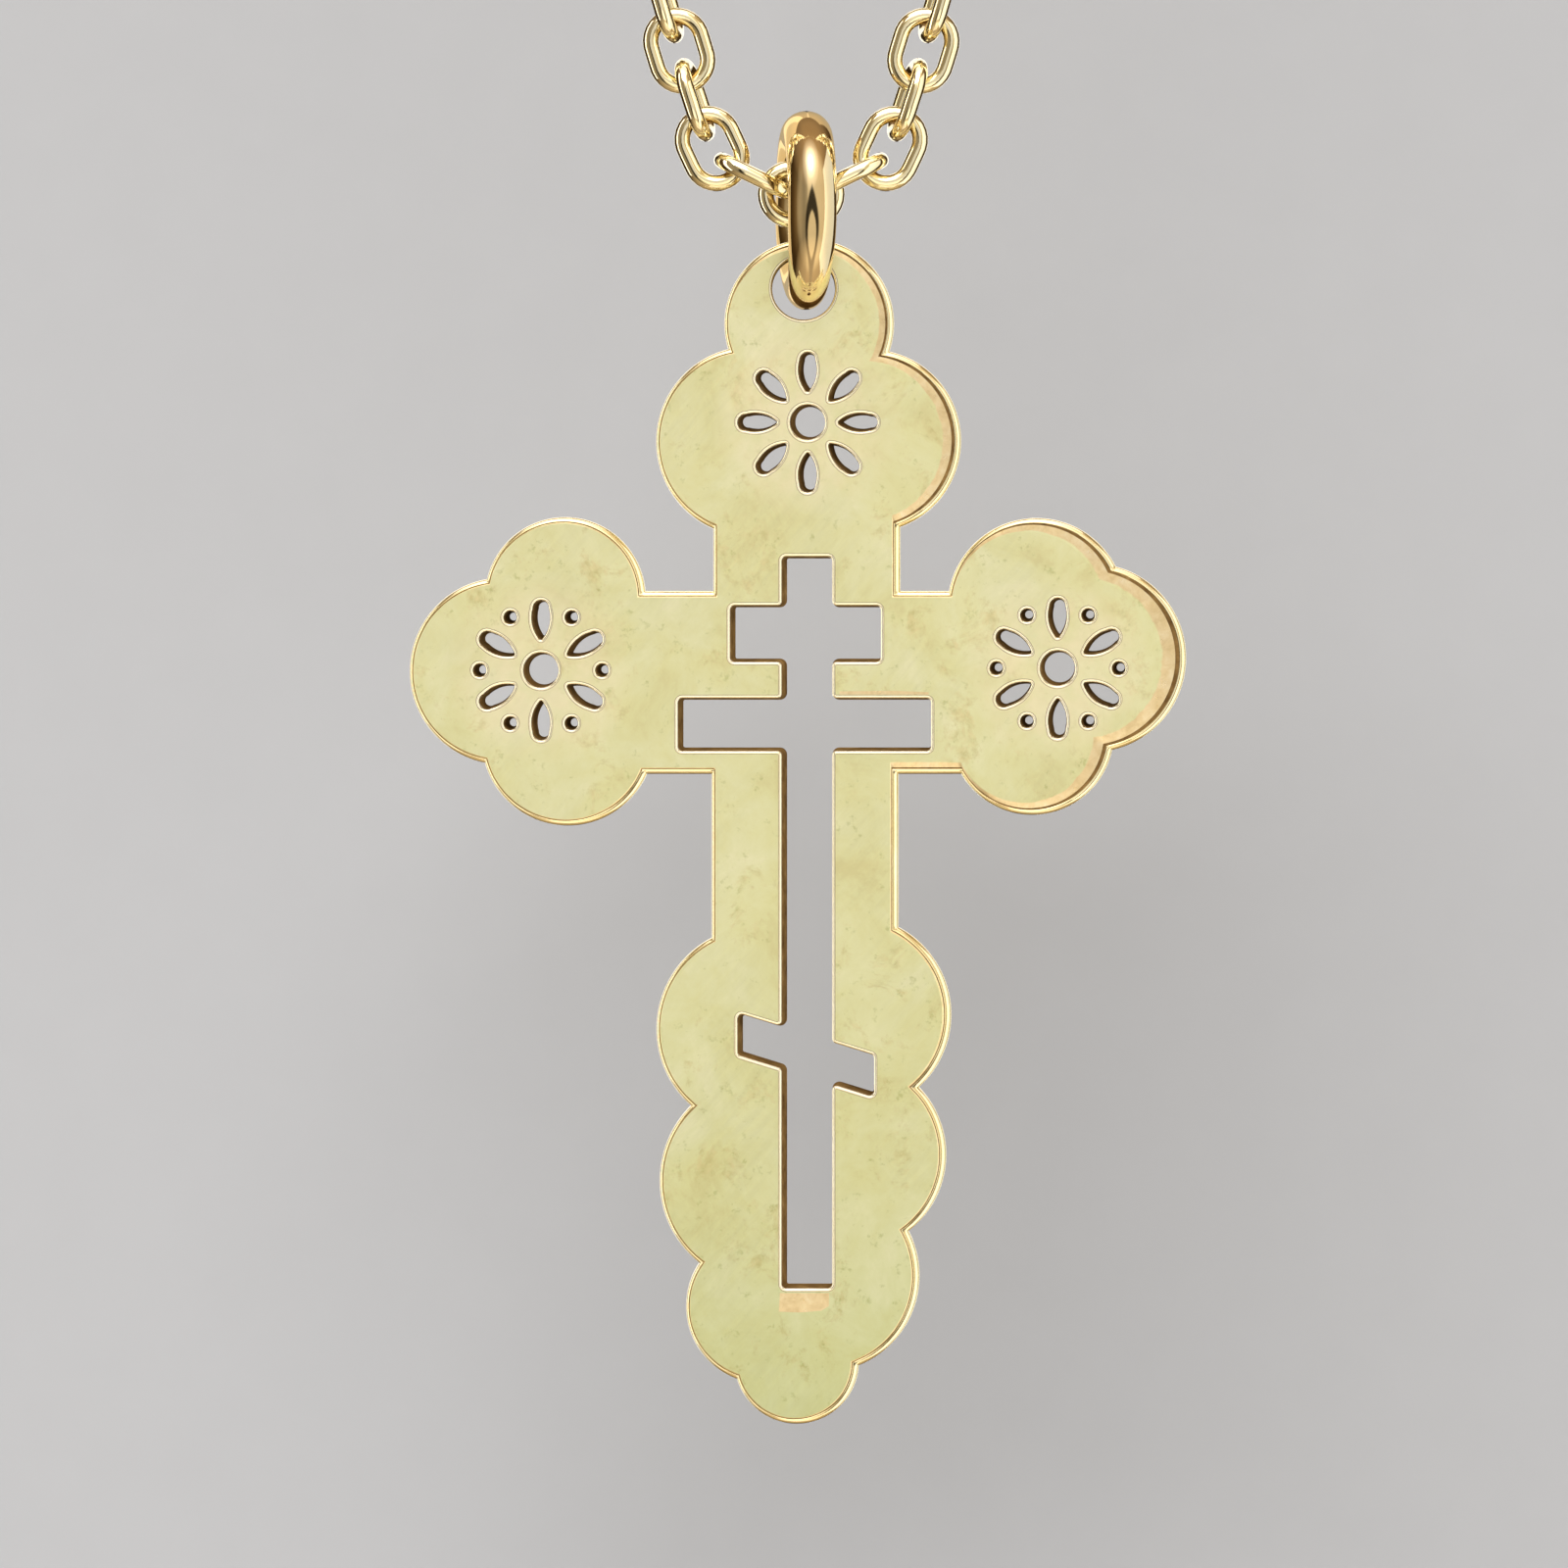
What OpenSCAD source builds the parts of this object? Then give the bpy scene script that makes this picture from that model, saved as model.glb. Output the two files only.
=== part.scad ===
// Orthodox cross pendant on a cable chain, shown hanging.
// +Z is up, the face of the cross looks along -Y, and the origin is where the loop of chain hangs.

/* [Cross plate] */
// Thickness of the plate
plate_t = 1.2; // [0.9:0.05:1.3]
// Width of the bevel along every edge of the outline
edge_bevel = 0.22; // [0.1:0.01:0.3]
// Width of the bevel along the windows
window_bevel = 0.12; // [0.05:0.01:0.2]
// Radius of the hole that the bail goes through
hole_r = 1.06; // [1.0:0.01:1.1]

/* [Pierced cross] */
// Width of the upright window
upright_w = 1.7; // [1.2:0.05:1.9]
// Height of the short top bar
title_bar_h = 1.9; // [1.2:0.05:2.2]
// Height of the long bar
long_bar_h = 1.78; // [1.2:0.05:2.0]
// Height of the slanted foot bar, measured upright
foot_bar_h = 1.42; // [1.0:0.05:1.6]
// Slope of the foot bar in degrees
foot_slope = 17.2; // [10:0.1:25]

/* [Rosettes] */
// Petals of the rosette under the bail
top_petals = 8; // [6:1:10]
// Petals of the rosette on each arm
arm_petals = 6; // [5:1:8]
// Distance from the rosette's centre to the inner tip of a petal
petal_start = 1.0; // [0.9:0.05:1.1]
// Distance from the rosette's centre to the outer end of a petal
petal_end = 2.36; // [2.2:0.02:2.5]
// Width of a petal
petal_w = 0.62; // [0.4:0.02:0.7]
// Radius of the round eye of the rosette
eye_r = 0.59; // [0.4:0.01:0.65]
// Radius of the small dots between the petals on the arms
dot_r = 0.22; // [0.15:0.01:0.3]

/* [Bail] */
// Outer height of the bail
bail_h = 6.7; // [6.6:0.02:6.8]
// Outer depth of the bail, front to back
bail_d = 6.4; // [6.2:0.02:6.8]
// Thickness of the bail's wire, measured from its inside to its outside
bail_t = 1.55; // [1.4:0.01:1.6]
// Width of the bail where it is seen from the front, at half height
bail_w = 1.64; // [1.5:0.02:2.2]
// Width of the bail at its top
bail_top_w = 1.66; // [1.5:0.02:2.0]
// Width of the bail where it goes through the plate
bail_foot_w = 1.34; // [1.2:0.02:1.6]
// Turn of the bail about its upright axis, in degrees, its front to the viewer's right
bail_turn = 5; // [0:0.5:6]

/* [Chain] */
// Distance from one link to the next
pitch = 1.742; // [1.7:0.002:1.8]
// Diameter of the links' wire
wire = 0.55; // [0.5:0.01:0.58]
// Outer width of a link
link_w = 2.28; // [2.2:0.01:2.4]
// Clear space between two links that hang in each other
link_gap = 0.11; // [0.1:0.01:0.14]
// Lean of the two straight strands in degrees
strand_lean = 16.5; // [14:0.5:20]
// Turn of every second link about its own length in degrees
edge_roll = 11; // [0:1:14]
// Links on the left, without the middle one
left_links = 119; // [101:2:119]

/* [Clasp] */
// Outer diameter of the clasp's ring
clasp_d = 6.0; // [5.4:0.1:6.4]
// Diameter of the clasp's tube
clasp_tube = 1.1; // [0.9:0.05:1.2]
// Outer diameter of the clasp's eye
eye_loop_d = 2.4; // [2.2:0.05:2.6]
// Outer diameter of the end ring
end_ring_d = 3.4; // [3.2:0.05:3.8]
// Diameter of the wire of the end ring and of the clasp's eye
ring_wire = 0.6; // [0.5:0.02:0.64]

/* [Hidden] */
$fn = 48;

// Lobes of the outline, seen from the front: x and z of the centre from the hole, and radius
LOBES = [
    //   x,      z,    r
    [ 0.19,  -1.20, 2.86], // top
    [-1.77,  -5.16, 3.20], // left below the top
    [ 2.23,  -5.14, 3.08], // right below the top
    [-8.03, -10.42, 2.71], // left arm, upper
    [-10.12, -12.90, 3.15], // left arm, outer
    [-7.94, -15.19, 2.91], // left arm, lower
    [ 7.85, -10.74, 3.00], // right arm, upper
    [ 9.71, -12.45, 3.18], // right arm, outer
    [ 7.70, -14.98, 2.76], // right arm, lower
    [-1.50, -24.95, 3.46], // foot, first left
    [ 1.67, -24.46, 3.31], // foot, first right
    [-1.29, -30.06, 3.56], // foot, second left
    [ 1.55, -29.18, 3.26], // foot, second right
    [-1.35, -34.29, 2.61], // foot, third left
    [ 0.65, -33.26, 3.26], // foot, third right
    [-0.23, -36.15, 2.10]  // foot, lowest
];
// Straight bars between the lobes: left, right, bottom and top edge
BARS = [
    // left, right, bottom,    top
    [ -3.04,  3.26, -16.00,  -5.50], // neck
    [ -9.00,  9.00, -16.36, -10.20], // arms
    [ -3.10,  3.20, -33.00, -15.00]  // stem
];
// Straight windows of the pierced cross: left, right, bottom and top edge
upright_x = 0.11;
title_bar_z = -11.64;
long_bar_z = -14.70;
WINDOWS = [
    //                  left,                      right,                        bottom,                          top
    [upright_x - upright_w / 2, upright_x + upright_w / 2,                       -33.69,                        -9.04],
    [                    -2.48,                      2.60, title_bar_z - title_bar_h / 2, title_bar_z + title_bar_h / 2],
    [                    -4.24,                      4.29,   long_bar_z - long_bar_h / 2,   long_bar_z + long_bar_h / 2]
];
foot_bar_x = 0.07;
foot_bar_z = -25.83;
foot_bar_half = 2.30;
top_rosette = [0.13, -4.52];
left_rosette = [-8.85, -12.87];
right_rosette = [8.55, -12.80];
dot_ring_r = 2.06;
// Where a petal is widest, as a share of its length, and the radius of its outer end
petal_widest = 0.57;
petal_cap_r = 0.27;
cut = 1;

// The bail leans a little to the right of the hole's axis, and the chain to its left
bail_x = 0.08;
chain_x = -0.08;
// The bail stands in the hole with this much room under the top of the hole
seat_gap = 0.22;
bail_z = hole_r - seat_gap + bail_h / 2 - bail_t;
// The middle link hangs inside the bail with this much room above it
rest_gap = 0.11;
middle_z = bail_z + bail_h / 2 - bail_t - rest_gap - link_w / 2;
bail_rings = 48;
bail_sides = 20;

// Lean of the lowest links on each side, in degrees from upright, before the straight strand
low_leans = [64, 25, 18, 17];
low_links = len(low_leans);
// The links beside the middle one turn less, clear of the swinging bail
first_roll = 3;
right_links = left_links - 1;
link_bend_r = (link_w - wire) / 2;
link_half = (pitch + wire + link_gap) / 2 - link_bend_r;

// A wire that hangs in a bend or a ring lies this far from its centre
function hang(inner_r, wire_d) = inner_r - wire_d / 2 - link_gap;
link_inner_r = link_bend_r - wire / 2;
// The strand is a row of straight steps from bend centre to bend centre of the links that show their face.
// Such a link is one short step, and the link seen on its edge that joins it to the next is one long step.
face_step = 2 * link_half;
edge_step = 2 * (link_half + link_bend_r + hang(link_inner_r, wire));

clasp_r = (clasp_d - clasp_tube) / 2;
eye_loop_r = (eye_loop_d - ring_wire) / 2;
eye_sink = 0.25;
eye_loop_x = clasp_r + eye_sink + eye_loop_r;
end_ring_r = (end_ring_d - ring_wire) / 2;
// From the last bend centre of each strand to the centre of the clasp's ring
left_reach = eye_loop_x + hang(eye_loop_r - ring_wire / 2, wire) - hang(link_inner_r, wire);
end_ring_reach = end_ring_r + hang(link_inner_r, ring_wire);
right_reach = end_ring_reach + end_ring_r + hang(clasp_r - clasp_tube / 2, ring_wire);
// Both strands have one length up to the top of the loop, so the clasp sits off its middle
clasp_offset = (edge_step + left_reach - right_reach) / 2;
lever_w = 0.7;
lever_h = 1.0;
lever_turn = -40;

// Route of a strand: the low links, then a straight stretch, then an arc to the top of the loop
function step_len(k) = k % 2 == 0 ? edge_step : face_step;
function low_point(k) = k == 0 ? [link_half, 0] :
    low_point(k - 1) + step_len(k - 1) * [sin(low_leans[k - 1]), cos(low_leans[k - 1])];
function steps_len(n) = floor(n / 2) * (edge_step + face_step) + (n % 2) * edge_step;
low_end = low_point(low_links);
rest_len = steps_len(left_links - low_links) + left_reach - clasp_offset;
lean_rad = strand_lean * PI / 180;
loop_r = (rest_len + low_end[0] / sin(strand_lean)) /
    (1 / tan(strand_lean) + PI / 2 + lean_rad);
straight_len = (loop_r * cos(strand_lean) - low_end[0]) / sin(strand_lean);
loop_centre = low_end[1] + straight_len * cos(strand_lean) + loop_r * sin(strand_lean);
loop_top = loop_centre + loop_r;

function arc_point(s) = let (a = s / loop_r * 180 / PI - strand_lean)
    [loop_r * cos(a), loop_centre + loop_r * sin(a)];
function rest_point(s) = s < straight_len ?
    low_end + s * [sin(strand_lean), cos(strand_lean)] : arc_point(s - straight_len);
function bend_point(k) = k <= low_links ? low_point(k) : rest_point(steps_len(k - low_links));
function lean_between(a, b) = atan2(b[0] - a[0], b[1] - a[1]);

// Heights in the part's frame: the clasp's ring stands on the origin
clasp_z = clasp_d / 2;
chain_z = clasp_z - loop_top;
cross_z = chain_z - middle_z;

// A ring of round wire, standing in the XZ plane
module wire_ring(centre_r, wire_d) {
    rotate([90, 0, 0])
        rotate_extrude()
            translate([centre_r, 0])
                circle(d = wire_d);
}

// One link of the cable chain, upright in the XZ plane
module link() {
    for (end = [0, 180])
        rotate([0, end, 0])
            translate([0, 0, link_half])
                rotate([90, 0, 0])
                    rotate_extrude(angle = 180)
                        translate([link_bend_r, 0])
                            circle(d = wire);
    for (side = [-1, 1])
        translate([side * link_bend_r, 0, -link_half])
            cylinder(h = 2 * link_half, d = wire);
}

// Links of the right-hand strand: they show their face and their edge in turn
module strand(links) {
    for (k = [0 : links - 1]) {
        a = bend_point(k);
        b = bend_point(k + 1);
        turn = k % 2 == 1 ? 0 : 90 + (k == 0 ? first_roll : edge_roll);
        translate([(a[0] + b[0]) / 2, 0, (a[1] + b[1]) / 2])
            rotate([0, lean_between(a, b), 0])
                rotate([0, 0, turn])
                    link();
    }
}

module chain_left() {
    color("palegoldenrod")
        translate([chain_x, 0, chain_z]) {
            rotate([0, 90, 0])
                link();
            mirror([1, 0, 0])
                strand(left_links);
        }
}

module chain_right() {
    color("palegoldenrod")
        translate([chain_x, 0, chain_z])
            strand(right_links);
}

module end_ring() {
    start = steps_len(right_links - low_links);
    a = rest_point(start);
    b = rest_point(start + 2 * end_ring_reach);
    color("khaki")
        translate([chain_x + (a[0] + b[0]) / 2, 0, chain_z + (a[1] + b[1]) / 2])
            rotate([0, lean_between(a, b), 0])
                rotate([0, 0, 90])
                    wire_ring(end_ring_r, ring_wire);
}

// A spring ring: the round tube, its little lever and the eye that the left strand hangs in
module clasp() {
    color("gold")
        translate([chain_x + clasp_offset, 0, clasp_z]) {
            wire_ring(clasp_r, clasp_tube);
            translate([-eye_loop_x, 0, 0])
                wire_ring(eye_loop_r, ring_wire);
            rotate([0, -lever_turn, 0])
                translate([0, 0, clasp_r])
                    cylinder(h = lever_h, d = lever_w);
        }
}

// The bail's wire is widest at half height and narrows to its top and to the hole
function bail_half_w(a) = let (level = sin(a))
    (bail_w + (level > 0 ? bail_top_w - bail_w : bail_foot_w - bail_w) * level * level) / 2;
function bail_point(a, b) = let (
        out = bail_t / 2 * cos(b),
        mid_y = (bail_d - bail_t) / 2,
        mid_z = (bail_h - bail_t) / 2)
    [bail_half_w(a) * sin(b), (mid_y + out) * cos(a), (mid_z + out) * sin(a)];

module bail() {
    points = [for (i = [0 : bail_rings - 1], j = [0 : bail_sides - 1])
        bail_point(360 * i / bail_rings, 360 * j / bail_sides)];
    faces = [for (i = [0 : bail_rings - 1], j = [0 : bail_sides - 1])
        let (n = (i + 1) % bail_rings, m = (j + 1) % bail_sides)
        [i * bail_sides + j, i * bail_sides + m, n * bail_sides + m, n * bail_sides + j]];
    color("gold")
        translate([bail_x, 0, cross_z + bail_z])
            rotate([0, 0, bail_turn])
                polyhedron(points, faces, convexity = 4);
}

// A bar of the plate along Z, bevelled along its two long sides
module upright_bar(left, right, bottom, top) {
    t = plate_t / 2;
    b = edge_bevel;
    translate([0, 0, bottom])
        linear_extrude(top - bottom)
            polygon([
                [left, b - t], [left + b, -t], [right - b, -t], [right, b - t],
                [right, t - b], [right - b, t], [left + b, t], [left, t - b]
            ]);
}

// The same bar lying along X
module level_bar(left, right, bottom, top) {
    rotate([0, 90, 0])
        upright_bar(-top, -bottom, left, right);
}

// A lobe of the outline: a bevelled disc
module lobe(r) {
    t = plate_t / 2;
    b = edge_bevel;
    rotate([90, 0, 0])
        rotate_extrude()
            polygon([[0, -t], [r - b, -t], [r, b - t], [r, t - b], [r - b, t], [0, t]]);
}

// A cutter with straight sides that widens towards both faces of the plate
module flared_prism(half_w, length) {
    t = plate_t / 2;
    b = window_bevel;
    w = half_w + b + cut;
    translate([0, 0, -length / 2])
        linear_extrude(length)
            polygon([
                [-half_w, b - t], [-w, -t - cut], [w, -t - cut], [half_w, b - t],
                [half_w, t - b], [w, t + cut], [-w, t + cut], [-half_w, t - b]
            ]);
}

module window(left, right, bottom, top) {
    reach = 2 * (window_bevel + cut);
    translate([(left + right) / 2, 0, (bottom + top) / 2])
        intersection() {
            flared_prism((right - left) / 2, top - bottom + reach);
            rotate([0, 90, 0])
                flared_prism((top - bottom) / 2, right - left + reach);
        }
}

// A round hole through the plate, opened out to both faces
module round_hole(r) {
    t = plate_t / 2;
    b = window_bevel;
    w = r + b + cut;
    rotate([90, 0, 0])
        rotate_extrude()
            polygon([[0, -t - cut], [w, -t - cut], [r, b - t], [r, t - b], [w, t + cut], [0, t + cut]]);
}

// One petal: two side arcs that meet in a point towards the eye, with a round cap at the outer end
module petal() {
    half_w = petal_w / 2;
    half_l = (petal_end - petal_start) * petal_widest;
    widest = petal_start + half_l;
    side_r = (half_l * half_l + half_w * half_w) / (2 * half_w);
    cap_z = petal_end - petal_cap_r;
    rotate([90, 0, 0])
        linear_extrude(plate_t + 2 * cut, center = true)
            intersection() {
                translate([side_r - half_w, widest])
                    circle(side_r);
                translate([half_w - side_r, widest])
                    circle(side_r);
                union() {
                    translate([0, cap_z])
                        circle(petal_cap_r);
                    translate([-petal_w, 0])
                        square([2 * petal_w, cap_z]);
                }
            }
}

module rosette(centre, petals) {
    translate([centre[0], 0, centre[1]]) {
        round_hole(eye_r);
        for (i = [0 : petals - 1])
            rotate([0, 360 * i / petals, 0])
                petal();
    }
}

// The dots stand between the petals of an arm's rosette
module dots(centre) {
    translate([centre[0], 0, centre[1]])
        for (i = [0 : arm_petals - 1])
            rotate([0, 360 * (i + 0.5) / arm_petals, 0])
                translate([0, 0, dot_ring_r])
                    rotate([90, 0, 0])
                        cylinder(h = plate_t + 2 * cut, r = dot_r, center = true);
}

// The slanted foot bar has upright ends
module foot_bar() {
    rise = foot_bar_half * tan(foot_slope);
    half_h = foot_bar_h / 2;
    rotate([90, 0, 0])
        linear_extrude(plate_t + 2 * cut, center = true)
            translate([foot_bar_x, foot_bar_z])
                polygon([
                    [-foot_bar_half, rise - half_h], [foot_bar_half, -rise - half_h],
                    [foot_bar_half, half_h - rise], [-foot_bar_half, rise + half_h]
                ]);
}

module cross_plate() {
    color("beige")
        translate([0, 0, cross_z])
            difference() {
                union() {
                    for (l = LOBES)
                        translate([l[0], 0, l[1]])
                            lobe(l[2]);
                    upright_bar(BARS[0][0], BARS[0][1], BARS[0][2], BARS[0][3]);
                    level_bar(BARS[1][0], BARS[1][1], BARS[1][2], BARS[1][3]);
                    upright_bar(BARS[2][0], BARS[2][1], BARS[2][2], BARS[2][3]);
                }
                round_hole(hole_r);
                for (w = WINDOWS)
                    window(w[0], w[1], w[2], w[3]);
                foot_bar();
                rosette(top_rosette, top_petals);
                for (centre = [left_rosette, right_rosette]) {
                    rosette(centre, arm_petals);
                    dots(centre);
                }
            }
}

cross_plate();
bail();
chain_left();
chain_right();
end_ring();
clasp();
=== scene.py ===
# %% [markdown]
# # A pierced cross of pale gold on its chain
# The object is a flat cross of pale gold, about 40 mm high, with a rim polished bright round a satin face.
# Three rosettes and a cross with three bars are sawn right through the plate. A thick polished bail goes
# through a hole at the top and holds the plate on a cable chain of about 240 links, which closes in a
# spring ring at the nape.
#
# The sizes and places of all pieces come from a construction model, which is loaded first as a fixed frame.
# Each piece below is then modelled again with the fine edges and the finishes of the real thing, in the
# same place.

# %% Load the construction frame
import math

import bmesh
import bpy
from mathutils import Matrix, Vector
from mathutils.geometry import delaunay_2d_cdt


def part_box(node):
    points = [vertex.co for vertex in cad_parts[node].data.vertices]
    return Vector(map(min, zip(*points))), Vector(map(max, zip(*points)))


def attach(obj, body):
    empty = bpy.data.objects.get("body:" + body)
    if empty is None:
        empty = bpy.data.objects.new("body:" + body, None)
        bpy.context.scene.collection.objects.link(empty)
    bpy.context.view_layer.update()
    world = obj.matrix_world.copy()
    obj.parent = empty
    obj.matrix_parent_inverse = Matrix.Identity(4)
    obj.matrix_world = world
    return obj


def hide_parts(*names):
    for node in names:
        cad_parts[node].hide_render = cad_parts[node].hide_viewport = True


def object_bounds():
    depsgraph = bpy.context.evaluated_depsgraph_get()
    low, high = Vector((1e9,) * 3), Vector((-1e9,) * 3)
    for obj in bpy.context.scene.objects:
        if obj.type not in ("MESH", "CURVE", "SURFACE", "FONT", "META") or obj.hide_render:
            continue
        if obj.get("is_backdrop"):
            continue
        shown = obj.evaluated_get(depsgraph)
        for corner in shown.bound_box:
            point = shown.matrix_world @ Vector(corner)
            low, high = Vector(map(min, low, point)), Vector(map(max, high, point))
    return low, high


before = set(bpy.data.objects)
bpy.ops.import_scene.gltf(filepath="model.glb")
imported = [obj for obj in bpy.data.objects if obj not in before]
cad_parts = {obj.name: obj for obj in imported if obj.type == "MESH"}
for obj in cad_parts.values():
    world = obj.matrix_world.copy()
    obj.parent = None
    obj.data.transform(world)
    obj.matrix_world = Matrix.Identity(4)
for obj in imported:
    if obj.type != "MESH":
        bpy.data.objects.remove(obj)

cad_low, cad_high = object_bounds()

# %% [markdown]
# ## Millimetres and anchors
# Jewellery is measured in millimetres and Blender works in metres, so every shape is worked out in
# millimetres and scaled down once, when its mesh is made. The frame's own boxes give the places that all
# pieces hang on: the hole in the plate, the middle link of the chain and the middle of the bail.

# %% Measure the anchors
MM = 0.001


def box_mm(node):
    """The low and the high corner of a node's box."""
    low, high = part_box(node)
    return low / MM, high / MM


plate_low, plate_high = box_mm("cross_plate")
bail_low, bail_high = box_mm("bail")
chain_low, _ = box_mm("chain_left")

TOP_LOBE_ABOVE_HOLE = 1.66
LINK_WIDTH = 2.28
hole_z = plate_high.z - TOP_LOBE_ABOVE_HOLE
middle_link_z = chain_low.z + LINK_WIDTH / 2
bail_middle = (bail_low + bail_high) / 2
half_plate = (plate_high.y - plate_low.y) / 2
print(f"hole at {hole_z:.2f} mm, middle link at {middle_link_z:.2f} mm, plate {2 * half_plate:.2f} mm thick")

# %% [markdown]
# ## The camera
# The picture looks straight at the face of the cross, from far enough away that nothing converges. An
# orthographic camera would show the same from here, but a long lens also gives natural views from the side.
# Its focal length follows from the width of the picture on the plate and from the camera's distance.

# %% Place the camera
PICTURE_WIDTH = 52.8
PICTURE_MIDDLE_X = -0.66
PICTURE_MIDDLE_BELOW_HOLE = 16.70
CAMERA_DISTANCE = 420.0
SENSOR_WIDTH = 36.0
NEAREST_SEEN = 10.0

camera_data = bpy.data.cameras.new("camera")
camera_data.sensor_width = SENSOR_WIDTH
camera_data.lens = SENSOR_WIDTH * CAMERA_DISTANCE / PICTURE_WIDTH
camera_data.clip_start = NEAREST_SEEN * MM
camera = bpy.data.objects.new("camera", camera_data)
camera.location = Vector((PICTURE_MIDDLE_X, -half_plate - CAMERA_DISTANCE,
                          hole_z - PICTURE_MIDDLE_BELOW_HOLE)) * MM
camera.rotation_euler = (math.radians(90), 0, 0)
bpy.context.scene.collection.objects.link(camera)
bpy.context.scene.camera = camera
print(f"lens {camera_data.lens:.0f} mm")

# %% [markdown]
# ## The floor and the wall
# The pendant hangs before a sheet of plain pale paper, which runs down over a soft curve into the floor, as
# in a photo studio. Two planes would show a line where they meet. Here one row of points, the sheet seen
# from its side, is pulled out wide, and one more flat piece is the floor behind it. The material is a small
# graph of nodes. It could be clicked together in the shader editor, but wired in code by a few helpers it
# can be read and used again. Patterns are measured in millimetres on the piece itself, so each mark has its
# real size.

# %% Write the first helpers for materials
def make_material(name):
    """An empty node material with a Principled shader, ready to be wired."""
    material = bpy.data.materials.new(name)
    material.use_nodes = True
    tree = material.node_tree
    tree.nodes.clear()
    output = tree.nodes.new("ShaderNodeOutputMaterial")
    shader = tree.nodes.new("ShaderNodeBsdfPrincipled")
    tree.links.new(shader.outputs["BSDF"], output.inputs["Surface"])
    return material, tree, shader, output


def coordinates(tree, stretch=(1, 1, 1), turn=(0, 0, 0)):
    """Places on the piece in millimetres, turned first and then multiplied by stretch along each axis."""
    place = tree.nodes.new("ShaderNodeTexCoord")
    mapping = tree.nodes.new("ShaderNodeMapping")
    mapping.vector_type = "TEXTURE"
    mapping.inputs["Scale"].default_value = [MM / s for s in stretch]
    mapping.inputs["Rotation"].default_value = turn
    tree.links.new(place.outputs["Object"], mapping.inputs["Vector"])
    return mapping.outputs["Vector"]


def noise(tree, vector, scale, detail=3.0, roughness=0.5, distortion=0.0):
    """A cloudy pattern. The larger its scale, the finer it is."""
    node = tree.nodes.new("ShaderNodeTexNoise")
    node.inputs["Scale"].default_value = scale
    node.inputs["Detail"].default_value = detail
    node.inputs["Roughness"].default_value = roughness
    node.inputs["Distortion"].default_value = distortion
    tree.links.new(vector, node.inputs["Vector"])
    return node.outputs["Fac"]


def ramp(tree, value, stops):
    """A colour ramp. Each stop is a place from 0 to 1 and a colour, or a grey level."""
    node = tree.nodes.new("ShaderNodeValToRGB")
    elements = node.color_ramp.elements
    while len(elements) > 1:
        elements.remove(elements[-1])
    for i, (place, colour) in enumerate(stops):
        element = elements[0] if i == 0 else elements.new(place)
        element.position = place
        grey = isinstance(colour, (int, float))
        element.color = (colour, colour, colour, 1) if grey else (*colour, 1)
    tree.links.new(value, node.inputs["Fac"])
    return node.outputs["Color"]


print("helpers:", [helper.__name__ for helper in (make_material, coordinates, noise, ramp)])

# %% Make the floor and the wall
FLOOR_GAP = 150.0
WALL_GAP = 27.0
STAGE_HALF = 8000.0
COVE_RADIUS = 140.0
COVE_STEPS = 24
PAPER_COLOUR = (0.268, 0.272, 0.282)
PAPER_SHADE = 0.985
PAPER_ROUGHNESS = 0.9


def paper_material(name, colour):
    """Matt studio paper. Its back lets the view through, so the wall never hides the object from behind."""
    material, tree, shader, output = make_material(name)
    grain = noise(tree, coordinates(tree), 0.4, detail=4)
    tint = ramp(tree, grain, [(0.3, [c * PAPER_SHADE for c in colour]), (0.7, colour)])
    tree.links.new(tint, shader.inputs["Base Color"])
    shader.inputs["Roughness"].default_value = PAPER_ROUGHNESS
    side = tree.nodes.new("ShaderNodeNewGeometry")
    clear = tree.nodes.new("ShaderNodeBsdfTransparent")
    either = tree.nodes.new("ShaderNodeMixShader")
    tree.links.new(side.outputs["Backfacing"], either.inputs["Fac"])
    tree.links.new(shader.outputs["BSDF"], either.inputs[1])
    tree.links.new(clear.outputs["BSDF"], either.inputs[2])
    tree.links.new(either.outputs["Shader"], output.inputs["Surface"])
    return material


def make_stage():
    """A floor in front, a cove and a wall in one sheet, and a plain floor behind the wall."""
    floor_z = cad_low.z / MM - FLOOR_GAP
    wall_y = WALL_GAP
    profile = [(-STAGE_HALF, floor_z)]
    for i in range(COVE_STEPS + 1):
        a = math.radians(90) * i / COVE_STEPS
        profile.append((wall_y - COVE_RADIUS + COVE_RADIUS * math.sin(a),
                        floor_z + COVE_RADIUS - COVE_RADIUS * math.cos(a)))
    profile.append((wall_y, floor_z + STAGE_HALF))
    points = [Vector((x, y, z)) * MM for y, z in profile for x in (-STAGE_HALF, STAGE_HALF)]
    faces = [(2 * i, 2 * i + 1, 2 * i + 3, 2 * i + 2) for i in range(len(profile) - 1)]
    behind = len(points)
    points += [Vector((x, y, floor_z)) * MM for y in (wall_y - COVE_RADIUS, STAGE_HALF)
               for x in (-STAGE_HALF, STAGE_HALF)]
    faces.append((behind, behind + 1, behind + 3, behind + 2))
    mesh = bpy.data.meshes.new("studio_paper")
    mesh.from_pydata(points, [], faces)
    mesh.polygons.foreach_set("use_smooth", [True] * len(faces))
    mesh.materials.append(paper_material("pale_paper", PAPER_COLOUR))
    sheet = bpy.data.objects.new("studio_paper", mesh)
    bpy.context.scene.collection.objects.link(sheet)
    sheet.visible_glossy = False
    sheet.visible_shadow = False
    sheet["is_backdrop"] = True
    return sheet


stage = make_stage()
print("stage faces:", len(stage.data.polygons), "first normal:", tuple(stage.data.polygons[0].normal))

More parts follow.
